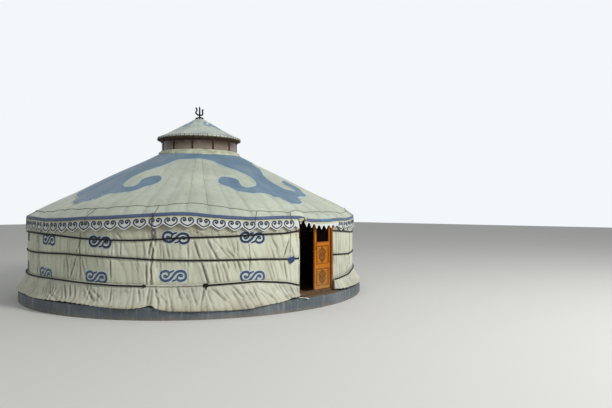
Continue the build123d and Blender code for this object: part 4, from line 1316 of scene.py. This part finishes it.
def disc(centre, radius):
    """The outline of a round spot."""
    turn = np.linspace(0, TURN, 10, endpoint=False)
    return (np.asarray(centre) + radius * np.stack([np.cos(turn), np.sin(turn)], 1)).tolist()


def spread(values, count):
    """Values spread evenly over so many places, with the ones between them worked out."""
    return np.interp(np.linspace(0, 1, count), np.linspace(0, 1, np.size(values)), np.ravel(values))


def ribbon(points, width, per=5):
    """Outlines that together make a stroke with round ends. width may change along the path."""
    line = smooth_path(points, per)
    half = spread(width, len(line))[:, None] / 2
    ahead = np.gradient(line, axis=0)
    ahead /= np.linalg.norm(ahead, axis=1)[:, None]
    side = np.stack([-ahead[:, 1], ahead[:, 0]], 1) * half
    left, right = line + side, line - side
    shapes = [[left[i], right[i], right[i + 1], left[i + 1]] for i in range(len(line) - 1)]
    return [np.array(s).tolist() for s in shapes] + [disc(line[0], half[0, 0]), disc(line[-1], half[-1, 0])]


def swept_area(shape):
    """Area of an outline, which is negative if it runs clockwise."""
    x, y = np.array(shape).T
    return 0.5 * np.sum(x * np.roll(y, -1) - np.roll(x, -1) * y)


def spun(points, turn):
    """Flat points turned anticlockwise about the origin."""
    return points @ np.array([[math.cos(turn), math.sin(turn)], [-math.sin(turn), math.cos(turn)]])


def cut(shapes, step):
    """Triangles that cover overlapping outlines, with points no further apart than step."""
    shapes = [s for s in shapes if swept_area(s) > 1e-7]
    corners = np.concatenate([np.array(s) for s in shapes])
    faces, start = [], 0
    for shape in shapes:
        faces.append(list(range(start, start + len(shape))))
        start += len(shape)
    low, high = corners.min(0), corners.max(0)
    across, up = np.meshgrid(np.arange(low[0], high[0], step), np.arange(low[1], high[1], step))
    across = across + (np.arange(len(across)) % 2)[:, None] * step / 2
    spare = np.stack([across.ravel() + step / 3, up.ravel() + step / 3], 1)
    given = [Vector(p) for p in np.concatenate([corners, spare]).tolist()]
    found, _, triangles, _, _, origins = delaunay_2d_cdt(given, [], faces, 1, 1e-6)
    triangles = [corner for corner, origin in zip(triangles, origins) if origin]
    used = sorted({i for t in triangles for i in t})
    renumber = {old: new for new, old in enumerate(used)}
    return (np.array([found[i][:] for i in used]), np.array([[renumber[i] for i in t] for t in triangles]))


def sew(name, patches, surface, material, thick=0.004, slot=None):
    """Lay (points, triangles) patches on a surface, which turns flat places and a lift into points."""
    points, faces, start = [], [], 0
    for spots, triangles in patches:
        count = len(spots)
        edges = {}
        for a, b, c in triangles.tolist():
            for edge in ((a, b), (b, c), (c, a)):
                edges[edge] = True
        rim = [(a, b) for a, b in edges if (b, a) not in edges]
        points += [surface(spots, 0.0), surface(spots, -thick)]
        faces += (triangles + start).tolist() + (triangles[:, ::-1] + start + count).tolist()
        faces += [(start + a, start + count + a, start + count + b, start + b) for a, b in rim]
        start += 2 * count
    return make(name, np.concatenate(points), faces, material, slot=slot, sharp=60)


def on_wall(lift):
    """The wall's surface for sewing: flat places are metres round the wall and up it."""
    def surface(spots, sunk):
        angle = spots[:, 0] / WALL_RADIUS
        return place(angle, wall_face(angle, spots[:, 1]) + lift + sunk, spots[:, 1])
    return surface


def on_valance(lift):
    """The valance's surface for sewing: flat places are metres along the eave and up from it."""
    def surface(spots, sunk):
        angle = spots[:, 0] / EAVE_RADIUS
        return place(angle, valance_face(angle, spots[:, 1] * -1) + lift + sunk,
                     level(EAVE_MARKS, angle) + spots[:, 1])
    return surface


def on_slope(face, lift):
    """A slope's surface for sewing: flat places are seen from above, and face gives the slope's height."""
    def surface(spots, sunk):
        angle = np.arctan2(spots[:, 0], -spots[:, 1])
        radius = np.hypot(spots[:, 0], spots[:, 1])
        return place(angle, radius, face(angle, radius) + lift + sunk)
    return surface


# %% Double scrolls on the wall
SCROLL_STROKE = [(.012, .106), (-.032, .090), (-.068, .074), (-.099, .097), (-.139, .112), (-.192, .103),
                 (-.232, .077), (-.250, .028), (-.241, -.035), (-.210, -.075), (-.157, -.092),
                 (-.099, -.088), (-.059, -.066), (-.023, -.030), (.0035, .005)]
SCROLL_CURL = [(-.068, .074), (-.085, .028), (-.112, -.012), (-.143, -.023), (-.172, -.010), (-.178, .014),
               (-.155, .026), (-.130, .005)]


def scroll(extra, step):
    """A double scroll whose strokes are wider by extra."""
    strokes = []
    for path, width in ((SCROLL_STROKE, [.030, .046, .046, .048, .044]), (SCROLL_CURL, [.034, .030, .026])):
        for sign in (1, -1):
            strokes += ribbon(np.array(path) * [sign, 0.9 * sign], np.array(width) + extra)
    return cut(strokes, step)


def shifted(patch, across, up, wide=1.0, tilt=0.0):
    """A copy of a patch at another place, made wider and tilted."""
    spots, triangles = patch
    return spun(spots, tilt) * [wide, 1] + [across, up], triangles


scroll_top, scroll_under = scroll(0.0, 0.03), scroll(0.028, 0.035)
rows, unders, draw = [[], []], [], np.random.default_rng(77)
for low_at, low_height, high_at, high_height in SCROLLS:
    for row, degrees, height in ((rows[0], low_at, low_height), (rows[1], high_at, high_height)):
        spot = (math.radians(degrees) * WALL_RADIUS, height, 0.96, draw.normal(0, 0.02))
        row.append(shifted(scroll_top, *spot))
        unders.append(shifted(scroll_under, *spot))
for name, row, dye in (("scrolls_wall_lower", rows[0], NAVY_CLOTH),
                       ("scrolls_wall_upper", rows[1], INK_CLOTH)):
    sew(name, row, on_wall(0.0072), dye, slot="blue_band")
sew("scroll_backings_wall", unders, on_wall(0.0036), PALE_BACKING, slot="blue_band")
print("scrolls:", len(unders), " triangles in one:", len(scroll_top[1]))

# %% Scrolls of the valance
HEART_HALF = [(0, 0), (-.045, .020), (-.090, .048), (-.114, .085), (-.112, .120), (-.090, .145),
              (-.060, .152), (-.036, .143), (-.025, .120), (-.034, .100), (-.052, .092), (-.066, .101),
              (-.064, .114)]
HEART_WIDTHS = [.020, .026, .024]
strokes = ribbon(HEART_HALF, HEART_WIDTHS, 4) + ribbon(np.array(HEART_HALF) * [-1, 1], HEART_WIDTHS, 4)
strokes += [disc((-.064, .112), .019), disc((.064, .112), .019), disc((0, .004), .015)]
heart = cut(strokes, 0.05)
hearts = [shifted(heart, math.radians(FIRST_TILE - TILE * k) * EAVE_RADIUS, -0.254, 1.0, draw.normal(0, 0.02))
          for k in range(TILES)]
sew("scrolls_valance", hearts, on_valance(0.0042), INK_CLOTH, 0.003, slot="blue_band")
print("valance scrolls:", len(hearts), " triangles in one:", len(heart[1]))

# %% [markdown]
# ## Ornament on the roof
#
# Four large figures hang from a band round the crown: an arm that runs down the roof, with a
# curl on each side. Their outline is drawn in degrees and distance, mirrored and cut from
# sky-blue cloth, with an ice-blue border. On one of the two that the photograph shows, the
# far curl has run into the arm. The two at the back repeat the one over the door.

# %% Roof figures
FIGURE_HALF = [(38, .354), (34, .360), (28, .369), (24, .382), (20.5, .423), (17, .466), (12, .506),
               (8.4, .545), (6.5, .590), (7, .650), (9.8, .700), (13.8, .722), (16.6, .712), (17, .675),
               (16.4, .640), (18.5, .610), (23.5, .598), (26.3, .630), (27, .665), (25.6, .695), (22, .728),
               (20.5, .757), (17.5, .778), (14, .788), (9.2, .790), (7.6, .812), (7.6, .830), (5.0, .848),
               (5.2, .864), (2.8, .878), (2.2, .890)]
FILLED_HALF = [(38, .354), (37, .42), (35.5, .50), (33, .57), (30, .63), (26.5, .69), (22, .735),
               (18, .765), (14, .788)]
FILLED_HALF += FIGURE_HALF[25:]
FIGURES = [(-3, FIGURE_HALF), (-84, FILLED_HALF), (177, FIGURE_HALF), (87, FIGURE_HALF)]
BAND_INSIDE, BAND_OUTSIDE = 0.250 * WALL_RADIUS, 0.364 * WALL_RADIUS


def polar(points):
    """Flat places seen from above, from degrees and shares of the wall's radius."""
    angle = np.radians(np.array([p[0] for p in points]))
    radius = WALL_RADIUS * np.array([p[1] for p in points])
    return np.stack([radius * np.sin(angle), -radius * np.cos(angle)], 1)


def whole_figure(half, far, middle):
    """An outline from its two halves, the far one mirrored, turned to its middle in degrees."""
    whole = spun(np.concatenate([half, (far * [-1, 1])[::-1]]), math.radians(middle))
    return whole if swept_area(whole) > 0 else whole[::-1]


def ring(radius):
    """Points round the roof at a distance from its middle."""
    turn = np.linspace(0, TURN, 180, endpoint=False)
    return radius * np.stack([np.sin(turn), -np.cos(turn)], 1)


blue, border = [], []
for middle, far_side in FIGURES:
    whole = whole_figure(smooth_path(polar(FIGURE_HALF), 4), smooth_path(polar(far_side), 4), middle)
    blue.append(whole.tolist())
    border += ribbon(whole, 0.064, 1)
outer_ring, inner_ring = ring(BAND_OUTSIDE), ring(BAND_INSIDE)
corners = [inner_ring, outer_ring, np.roll(outer_ring, -1, axis=0), np.roll(inner_ring, -1, axis=0)]
blue += np.stack(corners, 1).tolist()
border += ribbon(np.concatenate([outer_ring, outer_ring[:1]]), 0.06, 1)
roof_figures = sew("ornament_roof", [cut(blue, 0.07)], on_slope(on_the_roof, 0.0100), ROOF_BLUE,
                   slot="canvas_roof")
sew("ornament_border_roof", [cut(border, 0.07)], on_slope(on_the_roof, 0.0060), ROOF_BORDER,
    slot="canvas_roof")
print("roof figures:", len(FIGURES), " triangles:", len(roof_figures.data.polygons))

# %% [markdown]
# ## Crown: collar and cap
#
# Where the roof ends, a strip of canvas is rolled and tied round the foot of the glazed
# drum. Above the drum a stiff cap of canvas keeps the rain off, drawn over ribs that show
# as faint ridges. Both are turned shapes, but a plain turned shape looks machined, so each
# takes lumps or ribs from a set of waves.

# %% Collar
COLLAR_WAVES = wave_set(71, 10, 9, 48, 0)
COLLAR_ROWS = [(.110, .009), (.104, .026), (.086, .040), (.060, .048), (.032, .053), (.010, .060), (0, .067)]
COLLAR_REACH = [(-180, .8), (-122, .45), (-85, .9), (-39, 1.5), (5, 1.15), (45, .65), (100, .8)]
COLLAR_INSIDE = 0.991
angle = spans(math.radians(140), math.radians(500), 0.012)[None]
away, lift = (np.array(c)[:, None] for c in zip(*COLLAR_ROWS))
reach = np.interp(np.degrees(angle), *zip(*COLLAR_REACH), period=360)
swell = np.array([0.2, 0.6, 1, 1, 0.7, 0.3, 0.0])[:, None]
ruck = waves(angle, 0, COLLAR_WAVES)
lumps = 0.014 * ruck + 0.006 * np.abs(np.sin(61 * angle + 2 * ruck))
radius = COLLAR_INSIDE + away * reach + swell * lumps * 0.7
height = on_the_roof(angle, radius) + lift + swell * lumps
inner = place(angle, radius - 0.006, height - 0.006)
collar = cloth("canvas_collar", place(angle, radius, height), inner, COLLAR_CANVAS, (angle, height),
               slot="cap_canvas")
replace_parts(collar, "roof_collar")
print("collar lies on the drum at", round(float(radius[-1].min()), 3), "m")

# %% Cap
CAP_EDGE = 1.066
CAP_SLOPE = math.tan(math.radians(29))
CAP_WAVES = wave_set(73, 10, 6, 60, 8.0)
CAP_RIBS = 24


def cap_face(angle, radius):
    """Height of the cap's outer face above the plinth: a cone that sinks a little between its ribs."""
    part = np.clip((CAP_EDGE - radius) / (CAP_EDGE - 0.19), 0, 1)
    sink = -0.022 * np.sin(math.pi * part)
    ribs = 0.008 * np.sin(math.pi * part) * np.abs(np.sin(CAP_RIBS / 2 * angle)) ** 0.6
    uneven = 0.004 * waves(angle, radius, CAP_WAVES) * np.sin(math.pi * part)
    tilt = 0.006 * np.sin(angle + 2.1) * (1 - part)
    return cap_base + (CAP_EDGE - radius) * CAP_SLOPE + sink + ribs + uneven + tilt


cap_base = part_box("cap_cover")[1].z - PLINTH_TOP - (CAP_EDGE - 0.188) * CAP_SLOPE
angle = spans(math.radians(140), math.radians(500), 0.016)[None]
slope = np.linspace(1.060, 0.165, 34)[:, None]
lip = [(1.066, -0.036), (1.070, -0.020), (1.068, -0.006)]
radius = np.concatenate([[[r] for r, _ in lip], slope])
height = np.concatenate([cap_face(angle, 1.062) + drop for _, drop in lip] + [cap_face(angle, slope)])
inner = place(angle, radius - 0.004, height - np.where(radius > 1.063, 0.002, 0.009))
cap = cloth("canvas_cap", place(angle, radius, height), inner, CAP_CANVAS, (angle, radius), slot="cap_canvas")
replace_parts(cap, "cap_cover")
PAD_ROWS = [(.190, -.066), (.194, -.058), (.190, -.049), (.178, -.042), (.150, -.031), (.110, -.018),
            (.070, -.008), (.035, -.003), (.008, -.001)]
disc_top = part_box("cap_disc")[1].z - PLINTH_TOP
angle = angle[:, ::4]
radius, height = (np.array(c)[:, None] for c in zip(*PAD_ROWS))
height = height + disc_top + 0.003 * waves(angle, 0, RIPPLES) * (radius > 0.1)
pad = cloth("canvas_cap_pad", place(angle, radius, height), place(angle, radius - 0.004, height - 0.006),
            CAP_CANVAS, (angle, radius), slot="cap_canvas")
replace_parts(pad, "cap_disc")
print("cap rises to", round(disc_top, 3), "m above the plinth")

# %% Ornament on the cap
CAP_HALF = [(0, .102), (7, .098), (16, .100), (26, .112), (36, .124), (44, .128), (49, .116), (44, .103),
            (36, .100), (31, .090), (36, .080), (46, .078), (56, .088), (62, .108), (60, .132), (50, .148),
            (38, .150), (26, .146), (14, .150), (8, .166), (5, .186), (0, .196)]
figures = []
for middle in (13, 133, -107):
    half = smooth_path(polar([(a * 0.6, 0.067 + (r - 0.078) * 0.93) for a, r in CAP_HALF]), 3)
    figures.append(whole_figure(half, half[1:-1], middle).tolist())
sew("ornament_cap", [cut([shape], 0.04) for shape in figures], on_slope(cap_face, 0.0045), CAP_BLUE,
    slot="cap_canvas")
print("figures on the cap:", len(figures))

# %% [markdown]
# ## Stitches and lacing
#
# Thick thread holds the cap to its rim, and brown cord closes the wall's joints. The stitches
# repeat along a path, so a Geometry Nodes tree places one short bar every so many
# millimetres, turned to the path, with a little variation from a fixed seed. The ties and
# the joints' cords follow longer lines, so they take the rope tree.

# %% Stitch tree


def stitch_tree():
    """Short thick stitches set along each line."""
    tree, given = tree_with("stitches_along_lines", {"Spacing": 0.05, "Length": 0.03, "Thread": 0.004,
                                                     "Seed": 3})
    line = add(tree, "GeometryNodeMeshToCurve", {0: given.outputs["Lines"]})
    spots = add(tree, "GeometryNodeCurveToPoints",
                {"Curve": line.outputs[0], "Length": given.outputs["Spacing"]}, mode="LENGTH")
    bar = add(tree, "GeometryNodeMeshCylinder",
              {"Vertices": 6, "Side Segments": 1, "Fill Segments": 1, "Radius": given.outputs["Thread"],
               "Depth": given.outputs["Length"]})
    vary = add(tree, "FunctionNodeRandomValue", {"Min": (0.8, 0.8, 0.7), "Max": (1.2, 1.2, 1.25),
                                                 "Seed": given.outputs["Seed"]}, data_type="FLOAT_VECTOR")
    along = add(tree, "FunctionNodeAlignRotationToVector", {"Vector": spots.outputs["Tangent"]}, axis="Z")
    placed = add(tree, "GeometryNodeInstanceOnPoints",
                 {"Points": spots.outputs[0], "Instance": bar.outputs["Mesh"], "Rotation": along.outputs[0],
                  "Scale": vary.outputs[0]})
    return end_tree(tree, given, placed.outputs[0])


STITCH = stitch_tree()
angle = np.radians(np.arange(-180, 180, 1.0))
hem_line = [place(angle, 1.064, cap_face(angle, 1.054) + 0.004)]
grow("stitches_cap", hem_line, STITCH, {"Spacing": 0.055, "Length": 0.026, "Thread": 0.0045}, THREAD,
     "cap_canvas")
cap_ties = []
for at in np.radians(6 * np.arange(60) + 1.5):
    edge = float(cap_face(at, 1.06))
    cap_ties.append(place(at, np.array([1.069, 1.0735, 1.072]), edge + np.array([0.0, -0.026, -0.062])))
lay_rope("lacing_cap", cap_ties, 0.009, THREAD, "cap_canvas", strands=1)
WALL_SEAMS = [(-24.9, .48, 1.33), (-51.4, .46, 1.44), (-73.6, .47, 1.36), (-94.3, .45, 1.36),
              (-11.6, .95, 1.40), (24, .5, 1.3), (51.4, .45, 1.4), (94.3, .45, 1.4), (137.1, .45, 1.4),
              (180, .45, 1.4), (-137.1, .45, 1.4)]
PANEL_JOINTS = (51.4, 94.3, 137.1, 180)
seam_lines = []
for degrees, low, high in WALL_SEAMS:
    height = np.linspace(low, high, 60)
    angle = math.radians(degrees) + 0.0030 * np.sin(height * 9 + degrees) + 0.0012 * np.sin(height * 31)
    lift = 0.016 if abs(degrees) in PANEL_JOINTS else 0.004
    seam_lines.append(place(angle, wall_face(angle, height) + lift, height))
lay_rope("cords_wall_seams", seam_lines, 0.0048, BROWN_CORD, "brown_cord")

# %% [markdown]
# ## Scarf, corner knot and torn hem
#
# A blue ceremonial scarf is knotted on the middle rope beside the door. At the corner of the
# doorway the valance ends in a bunch of white cloth tied round a peg of wood, and a torn
# piece of the skirt lies on the sill's edge. They are small scraps: a strip of cloth whose
# width, path and creases are given.

# %% Scraps of cloth
SCRAP_CLOTH = 0.003


def scrap(name, path, width, material, seed, creases, depth, slot, normal=(0, -1, 0), columns=40):
    """A creased strip along a path of points. width may change along it."""
    line = smooth_path(np.array(path), 8)
    at = np.linspace(0, len(line) - 1, columns)
    line = np.stack([np.interp(at, np.arange(len(line)), line[:, a]) for a in range(3)], 1)
    ahead = np.gradient(line, axis=0)
    ahead /= np.linalg.norm(ahead, axis=1)[:, None]
    outward = np.asarray(normal, float)
    across = np.cross(outward, ahead)
    across /= np.linalg.norm(across, axis=1)[:, None]
    up = np.cross(ahead, across)
    wide = spread(width, columns)
    side = np.linspace(-0.5, 0.5, 9)[:, None]
    fold = np.random.default_rng(seed).uniform(0, TURN, 3)
    crease = depth * (np.sin(creases * TURN * side + fold[0] + at / columns * 2) * 0.6
                      + np.sin(2.3 * creases * side + fold[1] + at / columns * 7) * 0.4)
    face = line[None] + across[None] * (side * wide)[..., None] + up[None] * crease[..., None]
    return cloth(name, face, face - up[None] * SCRAP_CLOTH, material, (at / columns, side), slot=slot)


UP = np.array([0, 0, 1.0])


def wall_axes(degrees, height, out):
    """A point in front of the wall, with the directions round and out from there."""
    angle = math.radians(degrees)
    spot = place(angle, float(wall_face(angle, height)) + out, height)
    along, across = math.cos(angle), math.sin(angle)
    return spot, np.array([along, across, 0]), np.array([across, -along, 0])


def local(axes, points):
    """Points from (round, up, out) in metres off a point of the wall."""
    spot, around, out = axes
    return np.array([spot + around * a + UP * b + out * c for a, b, c in points])


scarf_height = float(level(MIDDLE_ROPE, np.array(math.radians(-11.4))))
scarf_axes = wall_axes(-11.4, scarf_height, 0.03)
outward = scarf_axes[2]
bow = scrap("scarf_bow", local(scarf_axes, [(-.082, -.020, .004), (-.05, .005, .022), (-.015, .012, .012),
                                            (.02, .010, .012), (.05, .030, .024), (.078, .045, .004)]),
            [.05, .085, .040, .040, .075, .045], BLUE_SCARF, 4, 2, 0.010, slot="blue_scarf", normal=outward)
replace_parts(bow, "scarf")
tail_piece = scrap("scarf_tail", local(scarf_axes, [(.00, .02, .020), (-.01, -.02, .030), (-.022, -.06, .022),
                                                    (-.030, -.092, .010)]),
                   [.035, .060, .075, .050], BLUE_SCARF, 9, 1.5, 0.008, slot="blue_scarf", normal=outward)
second_tail = scrap("scarf_tail_short",
                    local(scarf_axes, [(.01, .01, .022), (.028, -.025, .030), (.040, -.060, .016)]),
                    [.03, .055, .045], BLUE_SCARF, 15, 1.5, 0.007, slot="blue_scarf", normal=outward)
wrap = np.linspace(0, TURN, 15)
wrap = np.stack([0.004 + 0.003 * np.sin(3 * wrap), 0.006 + 0.020 * np.sin(wrap),
                 0.008 + 0.018 * np.cos(wrap)], 1)
lay_rope("scarf_knot", [local(scarf_axes, wrap)], 0.014, BLUE_SCARF, "blue_scarf", lay=0.07, sides=7)

corner_height = float(level(EAVE_MARKS, np.array(math.radians(-7.4)))) - 0.055
corner_axes = wall_axes(-7.3, corner_height, 0.052)
bunch = scrap("corner_bunch", local(corner_axes, [(-.12, -.010, -.004), (-.06, -.006, .014),
                                                  (.0, -.004, .026), (.04, .010, .016), (.075, .034, .000)]),
              [.060, .062, .050, .060, .070], BUNCH_COTTON, 5, 3, 0.012, slot="valance_cloth",
              normal=corner_axes[2])
wrap = np.linspace(0, 1.6 * TURN, 26)
wrap = np.stack([0.012 * np.cos(wrap / 3), -0.012 + 0.030 * np.sin(wrap), 0.022 + 0.02 * np.cos(wrap)], 1)
lay_rope("corner_tie", [local(corner_axes, wrap)], 0.008, BROWN_CORD, "brown_cord", lay=0.05)
peg = local(corner_axes, [(-0.012, -0.035, d) for d in (-0.01, 0.045)])
grow("corner_peg", [peg], BATTEN, {"Thickness": 0.035, "Width": 0.050}, SILL_WOOD, "frame_wood")

TORN_AT = [(-10.4, 4.200, .036), (-9.6, 4.214, .030), (-8.8, 4.226, .022), (-8.0, 4.236, .010),
           (-7.3, 4.240, -.006)]
torn_spot = [place(math.radians(a), r, h) for a, r, h in TORN_AT]
torn = scrap("torn_hem", torn_spot, [.04, .060, .055, .040, .020], WHITE_PIPING, 22, 2, 0.008,
             slot="canvas_wall", normal=UP)

# %% Strap under the eave, and canvas over the left jamb
strap_path = []
for below in (0.18, 0.24, 0.30, 0.36, 0.42, 0.48, 0.54):
    at = math.radians(-51.0 + 0.4 * below)
    height = float(level(EAVE_MARKS, np.array(at))) - below
    strap_path.append(place(at, float(wall_face(at, height)) + 0.014, height))
out = np.array([math.sin(math.radians(-51.5)), -math.cos(math.radians(-51.5)), 0])
strap = scrap("strap_under_eave", strap_path, [.074, .070, .074, .068], STRAP_CLOTH, 31, 0.7, 0.004,
              slot="brown_cord", normal=out)
edge = np.radians([-51.1, -51.2, -51.4, -51.3])
edge_cord = place(edge, np.array([4.066, 4.082, 4.080, 4.064]),
                  level(EAVE_MARKS, edge) - np.array([-0.01, 0.09, 0.18, 0.27]))
lay_rope("cord_over_valance", [edge_cord], 0.008, BROWN_CORD, "brown_cord")
jamb_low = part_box("door_jamb_left")[0]
jamb_edge = [(jamb_low.x + 0.010 + 0.003 * math.sin(5 * k), jamb_low.y - 0.010, PLINTH_TOP + 0.08 + 0.19 * k)
             for k in range(7)]
jamb_cover = scrap("canvas_over_jamb", jamb_edge, [.028, .032, .026, .030, .024], COLLAR_CANVAS, 41, 0.6,
                   0.003, slot="canvas_wall", columns=60)

# %% Finial
# The forged finial is bolder than a plain rod: three tines, the middle one with a leaf-shaped
# point, and two bent legs.
finial_low, finial_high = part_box("finial")
side_on = np.array([math.cos(CAMERA_HEADING), -math.sin(CAMERA_HEADING), 0])


def finial_line(points):
    """Points of the finial from (sideways, up) in metres above its foot."""
    line = smooth_path(np.array(points), 5)
    return np.array([0, 0, finial_low.z]) + side_on * line[:, :1] + UP * line[:, 1:2]


FINIAL_TALL = finial_high.z - finial_low.z
bars = [finial_line([(0, .02), (0, FINIAL_TALL - 0.05)]),
        finial_line([(0, .114), (-.045, .128), (-.086, .158), (-.100, .192), (-.080, .230), (-.073, .262),
                     (-.086, .295), (-.102, .318)]),
        finial_line([(0, .116), (.045, .120), (.074, .134), (.080, .175), (.074, .215), (.077, .250),
                     (.096, .272)]),
        finial_line([(-.112, .010), (-.080, .036), (-.030, .050), (0, .052), (.030, .051), (.070, .040),
                     (.096, .014)])]
spear = finial_line([(0, FINIAL_TALL - 0.10), (0, FINIAL_TALL - 0.06), (0, FINIAL_TALL)])
across_spear = np.cross(side_on, UP)
foot, waist, tip = spear[0], (spear[0] + spear[-1]) / 2, spear[-1]
leaf_ring = [waist + side_on * 0.023, waist + across_spear * 0.009, waist - side_on * 0.023,
             waist - across_spear * 0.009]
sides = [(1, 2), (2, 3), (3, 4), (4, 1)]
make("finial_point", [foot, *leaf_ring, tip],
     [(0, b, a) for a, b in sides] + [(5, a, b) for a, b in sides], IRON, sharp=20)
finial_bars = lay_rope("finial_bars", bars, 0.034, IRON, strands=1, sides=8)
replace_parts(finial_bars, "finial")
print("scarf at", round(scarf_height, 3), "m, corner knot at", round(corner_height, 3), "m")

# %% [markdown]
# ## Door leaves
#
# Each leaf is a framed and panelled door with a pane above. The frame, panels and pane are
# already true solids, so they keep their shape and take a finish. What they lack is the
# trim: a moulding round each panel and round the pane, thin beads inside each panel, and a
# raised field with a carved relief that shows as dark brown. The trim is worked out flat on
# the leaf, then turned onto the face of each leaf.

# %% Trim of the leaves
LEAF_WIDTH, LEAF_THICK, STILE = 0.549, 0.040, 0.050
LEAF_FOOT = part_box("door_leaf_right_frame")[0].z
PANELS = [(0.070, 0.451), (0.541, 0.950)]
PANE = (1.016, 1.450)


def leaf_places(side, front):
    """A function from flat places on a leaf (across from its middle, up, out) to points."""
    low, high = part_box("door_leaf_%s_frame" % side)
    middle = (low + high) / 2
    if side == "right":
        across, out = np.array([1.0, 0, 0]), np.array([0, -1.0, 0])
    else:
        across, out = np.array([0, 1.0, 0]), np.array([1.0, 0, 0])
    out = out if front else -out
    across = across if front else -across
    base = np.array([middle.x, middle.y, LEAF_FOOT])

    def put(flat):
        flat = np.atleast_2d(flat)
        return base + across * flat[:, :1] + UP * flat[:, 1:2] + out * (LEAF_THICK / 2 + flat[:, 2:3])
    return put


def frame_lines(put, half, low, high, out):
    """Four lines round a rectangle, long ones first."""
    corners = [(-half, low), (half, low), (half, high), (-half, high)]
    return [put([(*a, out), (*b, out)]) for a, b in zip(corners, corners[1:] + corners[:1])]


def relief(low, high):
    """Strokes of the carving in a panel: a lozenge scroll with a stem, mirrored."""
    middle, tall = (low + high) / 2, (high - low) / 2
    half = [(0.00, -.78), (.035, -.55), (.085, -.42), (.110, -.15), (.075, .05), (.030, -.05), (.045, -.22)]
    upper = [(0.00, .80), (.045, .55), (.105, .45), (.120, .22), (.080, .12), (.045, .25)]
    shapes = []
    for stroke in (half, upper):
        line = np.array([(x, middle + y * tall) for x, y in stroke])
        shapes += ribbon(line, [.008, .018, .012], 4) + ribbon(line * [-1, 1], [.008, .018, .012], 4)
    return shapes + ribbon([(0, middle - .8 * tall), (0, middle), (0, middle + .8 * tall)], .010, 3)


def raised_field(low, high):
    """Outline of the raised field behind the carving."""
    middle, tall = (low + high) / 2, (high - low) / 2
    half = [(0, -.88), (.060, -.66), (.105, -.50), (.125, -.15), (.100, .08), (.130, .28), (.115, .52),
            (.050, .66), (0, .90)]
    right = [(x, middle + y * tall) for x, y in half]
    return [right + [(-x, y) for x, y in right[-2:0:-1]]]


for side, body in (("right", "right_leaf"), ("left", "left_leaf")):
    mouldings, beads = [], []
    for front in (True, False):
        put = leaf_places(side, front)
        inside = LEAF_WIDTH / 2 - STILE
        for low, high in PANELS:
            mouldings += frame_lines(put, inside - 0.011, low + 0.011, high - 0.011, -0.004)
            beads += frame_lines(put, inside - 0.062, low + 0.062, high - 0.062, -0.008)
        mouldings += frame_lines(put, inside - 0.007, PANE[0] + 0.007, PANE[1] - 0.007, -0.004)
    grow("leaf_mouldings_" + side, mouldings, BATTEN, {"Thickness": 0.020, "Width": 0.012}, MOULDING,
         "door_wood", body)
    grow("leaf_beads_" + side, beads, BATTEN, {"Thickness": 0.010, "Width": 0.008}, MOULDING,
         "door_wood", body)
    put = leaf_places(side, True)
    for name, shapes, lift, material in (("field", raised_field, -0.0055, MOULDING),
                                         ("carving", relief, -0.0025, CARVED_WOOD)):
        carved = sew("leaf_%s_%s" % (name, side), [cut(shapes(low, high), 0.05) for low, high in PANELS],
                     lambda spots, sunk: put(np.c_[spots, np.full(len(spots), sunk + lift)]), material, 0.003,
                     slot="door_wood")
        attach(carved, body)
print("leaf foot at", round(LEAF_FOOT, 3), "m")

# %% [markdown]
# ## Finishes of the solid pieces
#
# The solids that keep their shape take the finish of the real piece, matched by node name.

# %% Paint the solids
FINISHES = {
    "plinth": PAINTED_RENDER, "floor_boards": FLOOR_WOOD, "door_sill": SILL_WOOD, "door_step": SILL_WOOD,
    "door_jamb_left": RED_JAMB, "door_jamb_right": FRAME_WOOD, "door_head": HEAD_WOOD, "door_hinges": IRON,
    "crown_ring": CROWN_WOOD, "crown_base_ring": CROWN_WOOD, "crown_posts": CROWN_WOOD,
    "crown_top_ring": CROWN_WOOD, "crown_panes": CROWN_GLASS, "cap_rim": RIM_WOOD,
}
for side in ("left", "right"):
    FINISHES["door_leaf_%s_frame" % side] = DOOR_WOOD
    FINISHES["door_leaf_%s_panels" % side] = DOOR_PANEL
    FINISHES["door_leaf_%s_pane" % side] = DOOR_GLASS
    FINISHES["door_leaf_%s_pull" % side] = BRASS
for node, material in FINISHES.items():
    for holder in nodes[node].material_slots:
        holder.material = material
left = [n for n, piece in nodes.items() if n not in FINISHES and not piece.hide_render]
print("solids painted:", len(FINISHES), " still plain:", left)
